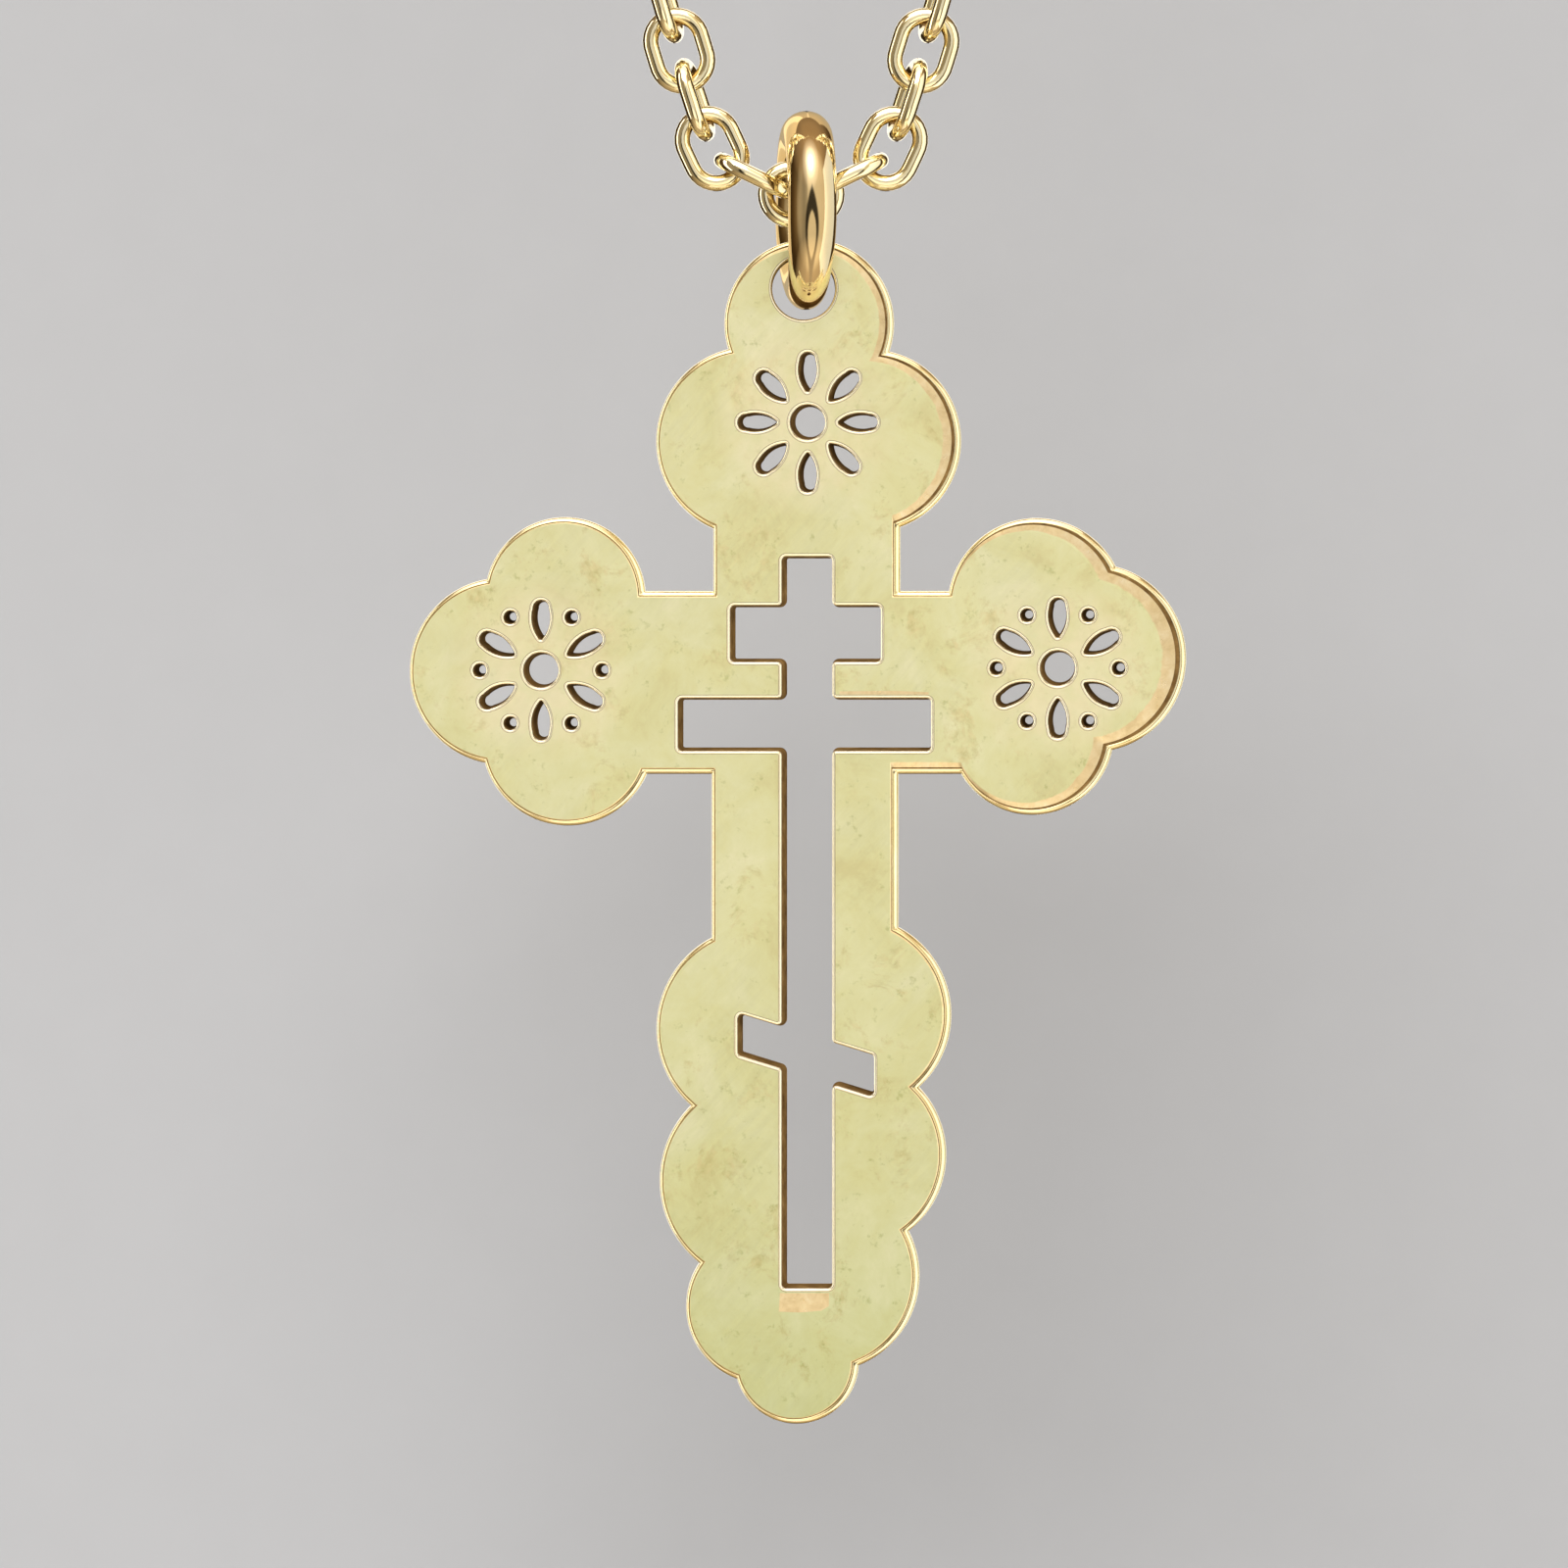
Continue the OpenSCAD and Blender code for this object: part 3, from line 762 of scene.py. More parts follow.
# %% Find the corners
def on_line(line, other, enters):
    """Where a straight edge runs into the other element, or where it comes out of it if enters is false."""
    dx, dz = line["runs"]
    if other["kind"] == "edge":
        return (line["at"], other["at"]) if dz else (other["at"], line["at"])
    centre = Vector((other["x"], other["z"]))
    foot = Vector((line["at"], centre.y)) if dz else Vector((centre.x, line["at"]))
    reach = math.sqrt(other["r"] ** 2 - (foot - centre).length_squared)
    return tuple(foot + Vector((dx, dz)) * (-reach if enters else reach))


def corner(first, second):
    """The corner where first ends and second begins, walking clockwise."""
    if first["kind"] == "edge":
        return on_line(first, second, enters=True)
    if second["kind"] == "edge":
        return on_line(second, first, enters=False)
    a, b = Vector((first["x"], first["z"])), Vector((second["x"], second["z"]))
    between = b - a
    along = (between.length_squared + first["r"] ** 2 - second["r"] ** 2) / (2 * between.length)
    across = math.sqrt(first["r"] ** 2 - along ** 2)
    ahead = between.normalized()
    return tuple(a + ahead * along + Vector((-ahead.y, ahead.x)) * across)


def corners_of(elements):
    """The corner at the start of each element."""
    return [corner(elements[i - 1], elements[i]) for i in range(len(elements))]


print("corners:", len(corners_of(OUTLINE)))

# %% Walk an inset
STEP = 0.11
ROUGH_STEPS = 24
FEWEST_POINTS = 4


def walk(element, start, end, count):
    """Count points from the start corner up to, but without, the end corner."""
    if element["kind"] == "edge":
        return [tuple(Vector(start).lerp(Vector(end), i / count)) for i in range(count)]
    a0 = math.atan2(start[1] - element["z"], start[0] - element["x"])
    a1 = math.atan2(end[1] - element["z"], end[0] - element["x"])
    sweep = (a0 - a1) % (2 * math.pi)
    return [(element["x"] + element["r"] * math.cos(a0 - sweep * i / count),
             element["z"] + element["r"] * math.sin(a0 - sweep * i / count)) for i in range(count)]


def points_wanted():
    """How many points each element gets: its own length on the full outline decides, once for all insets."""
    starts = corners_of(OUTLINE)
    counts = []
    for i, element in enumerate(OUTLINE):
        rough = walk(element, starts[i], starts[(i + 1) % len(starts)], ROUGH_STEPS)
        rough.append(starts[(i + 1) % len(starts)])
        length = sum((Vector(b) - Vector(a)).length for a, b in zip(rough, rough[1:]))
        counts.append(max(FEWEST_POINTS, round(length / STEP)))
    return counts


POINT_COUNTS = points_wanted()


def outline_ring(inset, shift=0.0, band=0.0):
    """The whole outline drawn in, as one closed row of points."""
    elements = [inset_element(e, inset, shift, band) for e in OUTLINE]
    starts = corners_of(elements)
    ring = []
    for i, element in enumerate(elements):
        ring += walk(element, starts[i], starts[(i + 1) % len(starts)], POINT_COUNTS[i])
    return ring


print("points in a ring:", len(outline_ring(0)))

# %% [markdown]
# ## The openings
# Thin saws cut petals, eyes, dots and the bars of the inner cross, and a drill the hole for the bail. A
# boolean cut would be quick to write, but its edges can't be bevelled cleanly. So each opening is kept as a
# row of points and the outward direction at each. To make it wider or narrower, every point moves along its
# direction. A sharp tip is a fan of directions on one point, so it grows into a small arc.

# %% Describe petals, eyes and dots
PETAL_START, PETAL_END, PETAL_WIDTH = 1.0, 2.36, 0.62
PETAL_WIDEST, PETAL_CAP = 0.57, 0.27
TIP_ROUNDING = 0.06
EYE_RADIUS, DOT_RADIUS, DOT_RING = 0.59, 0.22, 2.06
SIDE_ARC_STEPS, CAP_STEPS, TIP_STEPS = 12, 10, 5
EYE_STEPS, DOT_STEPS = 40, 20


def arc(cx, cz, r, a0, a1, count):
    """Points and outward directions from angle a0 to a1, both ends included."""
    row = []
    for i in range(count + 1):
        a = a0 + (a1 - a0) * i / count
        out = (math.cos(a), math.sin(a))
        row.append(((cx + r * out[0], cz + r * out[1]), out))
    return row


def petal_outline():
    """One petal that points up: two side arcs, a round cap and a rounded tip. The outline is drawn in by the
    rounding of its tip, so the opening is always made at least that much wider."""
    half_width = PETAL_WIDTH / 2
    half_length = (PETAL_END - PETAL_START) * PETAL_WIDEST
    widest = PETAL_START + half_length
    side_radius = (half_length ** 2 + half_width ** 2) / PETAL_WIDTH
    side_x = side_radius - half_width
    r = side_radius - TIP_ROUNDING
    cap_z, cap_r = PETAL_END - PETAL_CAP, PETAL_CAP - TIP_ROUNDING
    tip_angle = math.acos(side_x / r)
    cap = {"kind": "disc", "x": 0, "z": cap_z, "r": cap_r}
    side = {"kind": "disc", "x": -side_x, "z": widest, "r": r}
    meet_x, meet_z = corner(cap, side)
    side_end = math.atan2(meet_z - widest, meet_x + side_x)
    cap_start = math.atan2(meet_z - cap_z, meet_x)
    right = arc(-side_x, widest, r, -tip_angle, side_end, SIDE_ARC_STEPS)
    top = arc(0, cap_z, cap_r, cap_start, math.pi - cap_start, CAP_STEPS)
    left = arc(side_x, widest, r, math.pi - side_end, math.pi + tip_angle, SIDE_ARC_STEPS)
    tip = arc(0, left[-1][0][1], 0, math.pi + tip_angle, 2 * math.pi - tip_angle, TIP_STEPS)
    return right + top[1:-1] + left + tip[1:-1]


def turned(outline, turn, cx, cz):
    """The outline turned clockwise about the rosette's middle and set in place."""
    c, s = math.cos(turn), math.sin(turn)

    def spin(p):
        """One point or direction, turned clockwise."""
        return (p[0] * c + p[1] * s, -p[0] * s + p[1] * c)

    return [((spin(p)[0] + cx, spin(p)[1] + cz), spin(n)) for p, n in outline]


def round_outline(cx, cz, r, count):
    """A round opening as count points and their directions."""
    return arc(cx, cz, r, 0, 2 * math.pi, count)[:-1]


def rosette(cx, cz, petals, dots):
    """An eye, a ring of petals and, where wanted, a dot between each two petals. Each opening is a kind,
    an outline and how far that outline was drawn in."""
    openings = [("eye", round_outline(cx, cz, EYE_RADIUS, EYE_STEPS), 0.0)]
    flower = petal_outline()
    for i in range(petals):
        turn = 2 * math.pi * i / petals
        openings.append(("petal", turned(flower, turn, cx, cz), TIP_ROUNDING))
        if dots:
            a = turn + math.pi / petals
            place = (cx + DOT_RING * math.sin(a), cz + DOT_RING * math.cos(a))
            openings.append(("dot", round_outline(*place, DOT_RADIUS, DOT_STEPS), 0.0))
    return openings


print("points in a petal:", len(petal_outline()))

# %% Describe the pierced cross
UPRIGHT = {"left": -0.74, "right": 0.96, "top": -9.04, "bottom": -33.69}
TITLE_BAR = {"left": -2.48, "right": 2.60, "top": -10.69, "bottom": -12.59}
LONG_BAR = {"left": -4.24, "right": 4.29, "top": -13.81, "bottom": -15.59}
FOOT_BAR = {"x": 0.07, "z": -25.83, "half": 2.30, "half_height": 0.71, "slope": math.radians(17.2)}
CORNER_ROUNDING, CORNER_STEPS = 0.15, 5


def foot_bar_z(x, side):
    """Height of the slanted bar's upper (1) or lower (-1) edge at x. It falls to the viewer's right."""
    return FOOT_BAR["z"] - (x - FOOT_BAR["x"]) * math.tan(FOOT_BAR["slope"]) + side * FOOT_BAR["half_height"]


def cross_corners():
    """The corners of the four sawn bars as one opening, clockwise from the top left."""
    right, left = UPRIGHT["right"], UPRIGHT["left"]
    foot_right, foot_left = FOOT_BAR["x"] + FOOT_BAR["half"], FOOT_BAR["x"] - FOOT_BAR["half"]
    down = [(right, UPRIGHT["top"])]
    for bar in (TITLE_BAR, LONG_BAR):
        down += [(right, bar["top"]), (bar["right"], bar["top"]), (bar["right"], bar["bottom"]),
                 (right, bar["bottom"])]
    down += [(right, foot_bar_z(right, 1)), (foot_right, foot_bar_z(foot_right, 1)),
             (foot_right, foot_bar_z(foot_right, -1)), (right, foot_bar_z(right, -1)),
             (right, UPRIGHT["bottom"])]
    up = [(left, UPRIGHT["bottom"]), (left, foot_bar_z(left, -1)), (foot_left, foot_bar_z(foot_left, -1)),
          (foot_left, foot_bar_z(foot_left, 1)), (left, foot_bar_z(left, 1))]
    for bar in (LONG_BAR, TITLE_BAR):
        up += [(left, bar["bottom"]), (bar["left"], bar["bottom"]), (bar["left"], bar["top"]),
               (left, bar["top"])]
    return down + up + [(left, UPRIGHT["top"])]


def rounded(corners, r, steps):
    """Points and outward directions of a clockwise polygon with every corner rounded to radius r."""
    row = []
    for i, here in enumerate(corners):
        p = Vector(here)
        before = (p - Vector(corners[i - 1])).normalized()
        after = (Vector(corners[(i + 1) % len(corners)]) - p).normalized()
        n0, n1 = Vector((-before.y, before.x)), Vector((-after.y, after.x))
        turn = before.x * after.y - before.y * after.x
        bulge = 1 if turn < 0 else -1
        centre = p - (n0 + n1) / (1 + n0.dot(n1)) * r * bulge
        for k in range(steps + 1):
            out = n0.slerp(n1, k / steps)
            row.append((tuple(centre + out * r * bulge), tuple(out)))
    return row


print("corners of the bars:", len(cross_corners()))

# %% List all openings
HOLE_RADIUS, HOLE_STEPS = 1.06, 64
TOP_PETALS, ARM_PETALS = 8, 6

OPENINGS = [("bail hole", round_outline(0, 0, HOLE_RADIUS, HOLE_STEPS), 0.0)]
OPENINGS += rosette(*ROSETTES[0], TOP_PETALS, dots=False)
for arm in ROSETTES[1:]:
    OPENINGS += rosette(*arm, ARM_PETALS, dots=True)
OPENINGS.append(("bars", rounded(cross_corners(), CORNER_ROUNDING, CORNER_STEPS), 0.0))
print("openings through the plate:", len(OPENINGS))

# %% [markdown]
# ## The plate
# A table of levels describes the outer edge from the back to the front: how far each ring is drawn in and
# how deep it lies. The front has a rounded rim, a line as fine as a hair beside it, and then the buffed
# band that rises softly to the face. The openings have their own short table: a bright bevel in front, then
# the brown wall. A saw never cuts quite square, so the wall leans a little, and a strip of it shows at the
# left of each opening. A bevel modifier would round all edges alike, while a table gives each its own form
# and finish.

# %% Write the tables of levels
FACE, RIM, BAND, WALL, BACK, SIDE, BEVEL = range(7)
OUTER_LEVELS = [
    # inset, slide, band, depth from the middle (- is the front), finish up to the next level
    (0.160,  0.000, 0.00,  0.600, SIDE),
    (0.050,  0.000, 0.00,  0.560, SIDE),
    (0.000,  0.000, 0.00,  0.450, SIDE),
    (0.000,  0.000, 0.00, -0.420, RIM),
    (0.014, -0.004, 0.00, -0.485, RIM),
    (0.045, -0.016, 0.00, -0.545, RIM),
    (0.090, -0.034, 0.00, -0.585, RIM),
    (0.140, -0.056, 0.00, -0.600, RIM),
    # the fine line beside the rim takes the dark wall finish: a painted dark reflection
    (0.155, -0.063, 0.02, -0.590, WALL),
    (0.165, -0.068, 0.12, -0.570, WALL),
    (0.172, -0.070, 0.20, -0.576, BAND),
    (0.180, -0.074, 1.00, -0.600, None),
]
OPENING_LEVELS = [
    # wider by, depth from the middle, share of the lean, finish up to the next level
    (0.110, -0.600, 0.0, WALL),
    (0.095, -0.588, 0.0, BEVEL),
    (0.055, -0.590, 0.0, BEVEL),
    (0.022, -0.572, 0.0, BEVEL),
    (0.004, -0.540, 0.0, BEVEL),
    (0.000, -0.500, 0.0, WALL),
    (-0.060, 0.100, 0.7, WALL),
    (-0.085, 0.540, 1.0, WALL),
    (-0.020, 0.600, 1.0, None),
]
print("levels of the edge:", len(OUTER_LEVELS), "and of an opening:", len(OPENING_LEVELS))

# %% Collect points and faces in a shell
SHARP_ANGLE = math.radians(34)
INSIDE_ONLY = 1
FLAT_GRAIN = 1e-5


class Shell:
    """Collects points and faces, each face with its finish, and turns them into one mesh."""

    def __init__(self):
        self.points, self.buffed, self.faces, self.finishes = [], [], [], []

    def ring(self, outline, depth, buffed=0.0):
        """Adds a closed row of points in the plane of the plate and returns their numbers."""
        first = len(self.points)
        self.points += [(x, depth, hole_z + z) for x, z in outline]
        self.buffed += [buffed] * len(outline)
        return list(range(first, first + len(outline)))

    def bridge(self, lower, upper, finish):
        """Joins two rings of one length with a band of four-sided faces."""
        n = len(lower)
        for i in range(n):
            j = (i + 1) % n
            self.faces.append((lower[i], lower[j], upper[j], upper[i]))
            self.finishes.append(finish)

    def fill(self, outer, holes, finish, marks=()):
        """Covers the flat between the outer ring and the holes with well-shaped triangles. Marks are rings
        that the triangles follow and don't leave open."""
        rings = [outer, *holes, *marks]
        numbers = [i for ring in rings for i in ring]
        flat = [Vector((self.points[i][0], self.points[i][2])) for i in numbers]
        edges, first = [], 0
        for ring in rings:
            n = len(ring)
            edges += [(first + i, first + (i + 1) % n) for i in range(n)]
            first += n
        found, _, triangles, sources, _, _ = delaunay_2d_cdt(flat, edges, [], INSIDE_ONLY, FLAT_GRAIN)
        own = [numbers[source[0]] for source in sources]
        home = {i: ring for ring in holes for i in ring}
        kept = 0
        for triangle in triangles:
            corners = tuple(own[i] for i in triangle)
            ring = home.get(corners[0])
            middle = sum((found[i] for i in triangle), Vector((0, 0))) / 3
            if ring and all(home.get(i) is ring for i in corners) and self.inside(middle, ring):
                continue
            self.faces.append(corners)
            self.finishes.append(finish)
            kept += 1
        print("flat filled:", len(found), "points,", kept, "triangles")

    def inside(self, spot, ring):
        """Whether a spot lies within a ring: a line to the right crosses the ring an odd number of times."""
        within = False
        for i, j in zip(ring, [*ring[1:], ring[0]]):
            (x0, _, z0), (x1, _, z1) = self.points[i], self.points[j]
            if (z0 > spot.y) != (z1 > spot.y) and spot.x < x0 + (spot.y - z0) / (z1 - z0) * (x1 - x0):
                within = not within
        return within

    def mesh(self, name, finishes):
        """The mesh, in metres, with its faces turned outwards and shaded smooth up to the sharp angle."""
        data = bpy.data.meshes.new(name)
        data.from_pydata([Vector(p) * MM for p in self.points], [], self.faces)
        for material in finishes:
            data.materials.append(material)
        data.polygons.foreach_set("material_index", self.finishes)
        work = bmesh.new()
        work.from_mesh(data)
        bmesh.ops.recalc_face_normals(work, faces=work.faces)
        work.to_mesh(data)
        work.free()
        data.attributes.new("buffed", "FLOAT", "POINT").data.foreach_set("value", self.buffed)
        data.set_sharp_from_angle(angle=SHARP_ANGLE)
        data.polygons.foreach_set("use_smooth", [f not in (FACE, BACK) for f in self.finishes])
        return data


print(f"edges sharper than {math.degrees(SHARP_ANGLE):.0f} degrees stay sharp")

# %% Build the plate
LEAN = (0.10, 0.04)
HIGHLIGHT_PATCH_EDGE = 0.035
HIGHLIGHT_PATCHES = [
    # corners of two warm spots beside the bars, painted highlights where a bevel would catch the light
    [(-0.80, -33.84), (0.86, -33.84), (0.86, -34.28), (0.60, -34.44), (-0.10, -34.50), (-0.84, -34.47)],
    [(1.20, -13.69), (1.20, -13.58), (3.10, -13.56), (4.22, -13.61), (4.22, -13.69)],
]


def widened(outline, wider, lean_share):
    """An opening's outline made wider, and slid by its share of the saw's lean."""
    return [(p[0] + n[0] * wider + LEAN[0] * lean_share,
             p[1] + n[1] * wider + LEAN[1] * lean_share) for p, n in outline]


def drawn_in(corners, by):
    """A small outline with its corners drawn towards its middle."""
    middle = sum((Vector(c) for c in corners), Vector((0, 0))) / len(corners)
    return [tuple(Vector(c) + (middle - Vector(c)).normalized() * by) for c in corners]


def build_plate():
    """The levels of the edge and of every opening, and the two flats between them."""
    shell = Shell()
    outer = [shell.ring(outline_ring(inset, slide, band), depth, 1.0 if finish == BAND else 0.0)
             for inset, slide, band, depth, finish in OUTER_LEVELS]
    for k, level in enumerate(OUTER_LEVELS[:-1]):
        shell.bridge(outer[k], outer[k + 1], level[-1])
    fronts, backs = [], []
    for kind, outline, tip in OPENINGS:
        rings = []
        for wider, depth, lean_share, _ in OPENING_LEVELS:
            if kind == "bail hole":
                # it is drilled, so its wall is straight
                wider, lean_share = max(wider, 0), 0
            rings.append(shell.ring(widened(outline, tip + wider, lean_share), depth))
        for k, level in enumerate(OPENING_LEVELS[:-1]):
            shell.bridge(rings[k], rings[k + 1], level[-1])
        fronts.append(rings[0])
        backs.append(rings[-1])
    face_depth = OUTER_LEVELS[-1][3]
    # the two warm spots beside the bars are painted highlights, carried by the value on their inner ring
    marks = [shell.ring(patch, face_depth) for patch in HIGHLIGHT_PATCHES]
    marks += [shell.ring(drawn_in(patch, HIGHLIGHT_PATCH_EDGE), face_depth, 1.0) for patch in HIGHLIGHT_PATCHES]
    shell.fill(outer[-1], fronts, FACE, marks)
    shell.fill(outer[0], backs, BACK)
    return shell.mesh("cross_plate_dressed",
                      [satin_face, bright_rim, satin_face, painted_shade_wall, stoned_back, bright_rim, cut_bevel])


def place_piece(name, mesh, body, node):
    """Links a finished mesh, lets it ride on its body and stand for its node."""
    piece = bpy.data.objects.new(name, mesh)
    bpy.context.scene.collection.objects.link(piece)
    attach(piece, body)
    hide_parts(node)
    return piece


plate = place_piece("dressed_cross_plate", build_plate(), "cross", "cross_plate")
print("plate:", len(plate.data.polygons), "faces")

# %% [markdown]
# ## The bail
# The bail is an oval ring of thick wire, forged so that it swells at half height and narrows to its top and
# to the hole. Its section is an ellipse that changes round the ring. A torus that is scaled into an oval
# would have thin sides, so the rings of the section are placed one by one, by the same rule as in the
# construction. The steps are fine, because a mirror shows every facet.

# %% Build the bail
BAIL_THICKNESS, BAIL_DEPTH = 1.55, 6.4
BAIL_WIDTH, BAIL_TOP_WIDTH, BAIL_FOOT_WIDTH = 1.64, 1.66, 1.34
BAIL_TURN = math.radians(5)
BAIL_STEPS, BAIL_SIDES = 144, 40


def tube_mesh(name, rings, material, closed=True):
    """A smooth skin over rows of points, all equally long. An open tube gets two caps."""
    sides = len(rings[0])
    points = [Vector(p) * MM for ring in rings for p in ring]
    count = len(rings)
    faces = []
    for i in range(count if closed else count - 1):
        n = (i + 1) % count
        for j in range(sides):
            m = (j + 1) % sides
            faces.append((i * sides + j, i * sides + m, n * sides + m, n * sides + j))
    if not closed:
        faces += [tuple(range(sides)), tuple(range((count - 1) * sides, count * sides))]
    mesh = bpy.data.meshes.new(name)
    mesh.from_pydata(points, [], faces)
    mesh.polygons.foreach_set("use_smooth", [True] * len(faces))
    mesh.materials.append(material)
    work = bmesh.new()
    work.from_mesh(mesh)
    bmesh.ops.recalc_face_normals(work, faces=work.faces)
    work.to_mesh(mesh)
    work.free()
    return mesh


def bail_rings():
    """The sections of the bail, walked once round the oval."""
    mid_y = (BAIL_DEPTH - BAIL_THICKNESS) / 2
    mid_z = (bail_high.z - bail_low.z - BAIL_THICKNESS) / 2
    place = Matrix.Translation(bail_middle) @ Matrix.Rotation(BAIL_TURN, 4, "Z")
    rings = []
    for i in range(BAIL_STEPS):
        a = 2 * math.pi * i / BAIL_STEPS
        level = math.sin(a)
        end_width = BAIL_TOP_WIDTH if level > 0 else BAIL_FOOT_WIDTH
        half_width = (BAIL_WIDTH + (end_width - BAIL_WIDTH) * level * level) / 2
        ring = []
        for j in range(BAIL_SIDES):
            b = 2 * math.pi * j / BAIL_SIDES
            out = BAIL_THICKNESS / 2 * math.cos(b)
            ring.append(place @ Vector((half_width * math.sin(b), (mid_y + out) * math.cos(a),
                                        (mid_z + out) * math.sin(a))))
        rings.append(ring)
    return rings


bail_mesh = tube_mesh("bail_dressed", bail_rings(), bail_gold)
bail = place_piece("dressed_bail", bail_mesh, "bail", "bail")
print("bail:", len(bail.data.polygons), "faces")

# %% [markdown]
# ## The chain
# A cable chain is one link, made over and over, each turned a quarter against the last. The links lie on a
# route: a few steep ones beside the bail, a straight strand, and an arc round the neck. An array modifier
# along a curve would let the links float apart or cut each other where the curve is tight. Here the route
# is worked out link by link as on a real chain, from the bend of one link to the bend of the next. All
# links of one half are joined in one mesh, because a jeweller handles that half as one thing.

# %% Size the links, the end ring and the clasp
PITCH, WIRE, LINK_GAP = 1.742, 0.55, 0.11
CLASP_OUTER, CLASP_TUBE, CLASP_EYE_OUTER = 6.0, 1.1, 2.4
END_RING_OUTER, RING_WIRE, EYE_SINK = 3.4, 0.6, 0.25

bend_r = (LINK_WIDTH - WIRE) / 2
link_half = (PITCH + WIRE + LINK_GAP) / 2 - bend_r
inner_r = bend_r - WIRE / 2


def hang(inside, wire):
    """How far from the middle of a ring a wire lies that hangs in it."""
    return inside - wire / 2 - LINK_GAP


FACE_STEP = 2 * link_half
EDGE_STEP = 2 * (link_half + bend_r + hang(inner_r, WIRE))
clasp_r = (CLASP_OUTER - CLASP_TUBE) / 2
eye_r = (CLASP_EYE_OUTER - RING_WIRE) / 2
eye_x = clasp_r + EYE_SINK + eye_r
end_ring_r = (END_RING_OUTER - RING_WIRE) / 2
print(f"a link is {2 * (link_half + bend_r) + WIRE:.2f} mm long and {LINK_WIDTH:.2f} mm wide")

# %% Lean the lowest links
LEFT_LINKS = 119
RIGHT_LINKS = LEFT_LINKS - 1
LOW_LEANS = [math.radians(a) for a in (64, 25, 18, 17)]
LOW_LINKS = len(LOW_LEANS)


def steps_length(n):
    """How far n links reach, when the first of them shows its edge."""
    return n // 2 * (EDGE_STEP + FACE_STEP) + n % 2 * EDGE_STEP


def low_point(k):
    """Where the lowest links have got to after k of them, from the middle of the middle link."""
    x, z = link_half, 0.0
    for i in range(k):
        step = EDGE_STEP if i % 2 == 0 else FACE_STEP
        x += step * math.sin(LOW_LEANS[i])
        z += step * math.cos(LOW_LEANS[i])
    return Vector((x, z))


low_end = low_point(LOW_LINKS)
print(f"the lowest links end {low_end.x:.2f} mm out and {low_end.y:.2f} mm up")

# %% Lay the strand and the arc
STRAND_LEAN = math.radians(16.5)

left_reach = eye_x + hang(eye_r - RING_WIRE / 2, WIRE) - hang(inner_r, WIRE)
end_ring_reach = end_ring_r + hang(inner_r, RING_WIRE)
right_reach = end_ring_reach + end_ring_r + hang(clasp_r - CLASP_TUBE / 2, RING_WIRE)
clasp_offset = (EDGE_STEP + left_reach - right_reach) / 2
rest_length = steps_length(LEFT_LINKS - LOW_LINKS) + left_reach - clasp_offset
loop_r = ((rest_length + low_end.x / math.sin(STRAND_LEAN))
          / (1 / math.tan(STRAND_LEAN) + math.pi / 2 + STRAND_LEAN))
straight_length = (loop_r * math.cos(STRAND_LEAN) - low_end.x) / math.sin(STRAND_LEAN)
loop_centre = low_end.y + straight_length * math.cos(STRAND_LEAN) + loop_r * math.sin(STRAND_LEAN)


def rest_point(s):
    """The point of the route s after the lowest links: on the straight strand or on the arc."""
    if s < straight_length:
        return low_end + s * Vector((math.sin(STRAND_LEAN), math.cos(STRAND_LEAN)))
    a = (s - straight_length) / loop_r - STRAND_LEAN
    return Vector((loop_r * math.cos(a), loop_centre + loop_r * math.sin(a)))


def bend_point(k):
    """Where link k begins."""
    return low_point(k) if k <= LOW_LINKS else rest_point(steps_length(k - LOW_LINKS))


def lean_between(a, b):
    """How far the way from a to b leans to the right of upright."""
    return math.atan2(b.x - a.x, b.y - a.y)


loop_length = 2 * (steps_length(LEFT_LINKS) + left_reach - clasp_offset + link_half)
print(f"loop about {loop_length:.0f} mm long, {2 * loop_r:.1f} mm wide")

# %% Shape one link
BEND_STEPS, SIDE_STEPS, WIRE_SIDES = 15, 3, 16


def link_path():
    """The middle line of the wire: its place, its outward direction and how much it belongs to a bend."""
    path = []
    for end in (0, 1):
        for i in range(BEND_STEPS):
            a = math.pi * (i + 0.5) / BEND_STEPS + end * math.pi
            out = Vector((math.cos(a), 0, math.sin(a)))
            path.append((out * bend_r + Vector((0, 0, link_half if end == 0 else -link_half)), out,
                         abs(math.sin(a))))
        side = -1 if end == 0 else 1
        for i in range(SIDE_STEPS):
            z = link_half * (1 - 2 * (i + 0.5) / SIDE_STEPS) * (1 if end == 0 else -1)
            path.append((Vector((side * bend_r, 0, z)), Vector((side, 0, 0)), 0.0))
    return path


def one_link():
    """Points of one upright link that shows its face, and the film and painted shade in the inside of its
    bends.
    """
    points, film_and_shade = [], []
    for place, out, bend in link_path():
        for j in range(WIRE_SIDES):
            b = 2 * math.pi * j / WIRE_SIDES
            points.append(place + (out * math.cos(b) + Vector((0, 1, 0)) * math.sin(b)) * WIRE / 2)
            film_and_shade.append(bend ** 2 * max(0.0, -math.cos(b)) ** 2)
    return points, film_and_shade


LINK_POINTS, LINK_FILM_AND_SHADE = one_link()
LINK_RINGS = len(LINK_POINTS) // WIRE_SIDES
print("points in a link:", len(LINK_POINTS))

# %% Join the links of each half
CHAIN_X = -0.08
EDGE_ROLL, FIRST_ROLL = math.radians(11), math.radians(3)


def upright(x, z, lean, roll):
    """The place of a link: rolled about its own length, leant to the right and moved."""
    return Matrix.Translation((x, 0, z)) @ Matrix.Rotation(lean, 4, "Y") @ Matrix.Rotation(roll, 4, "Z")


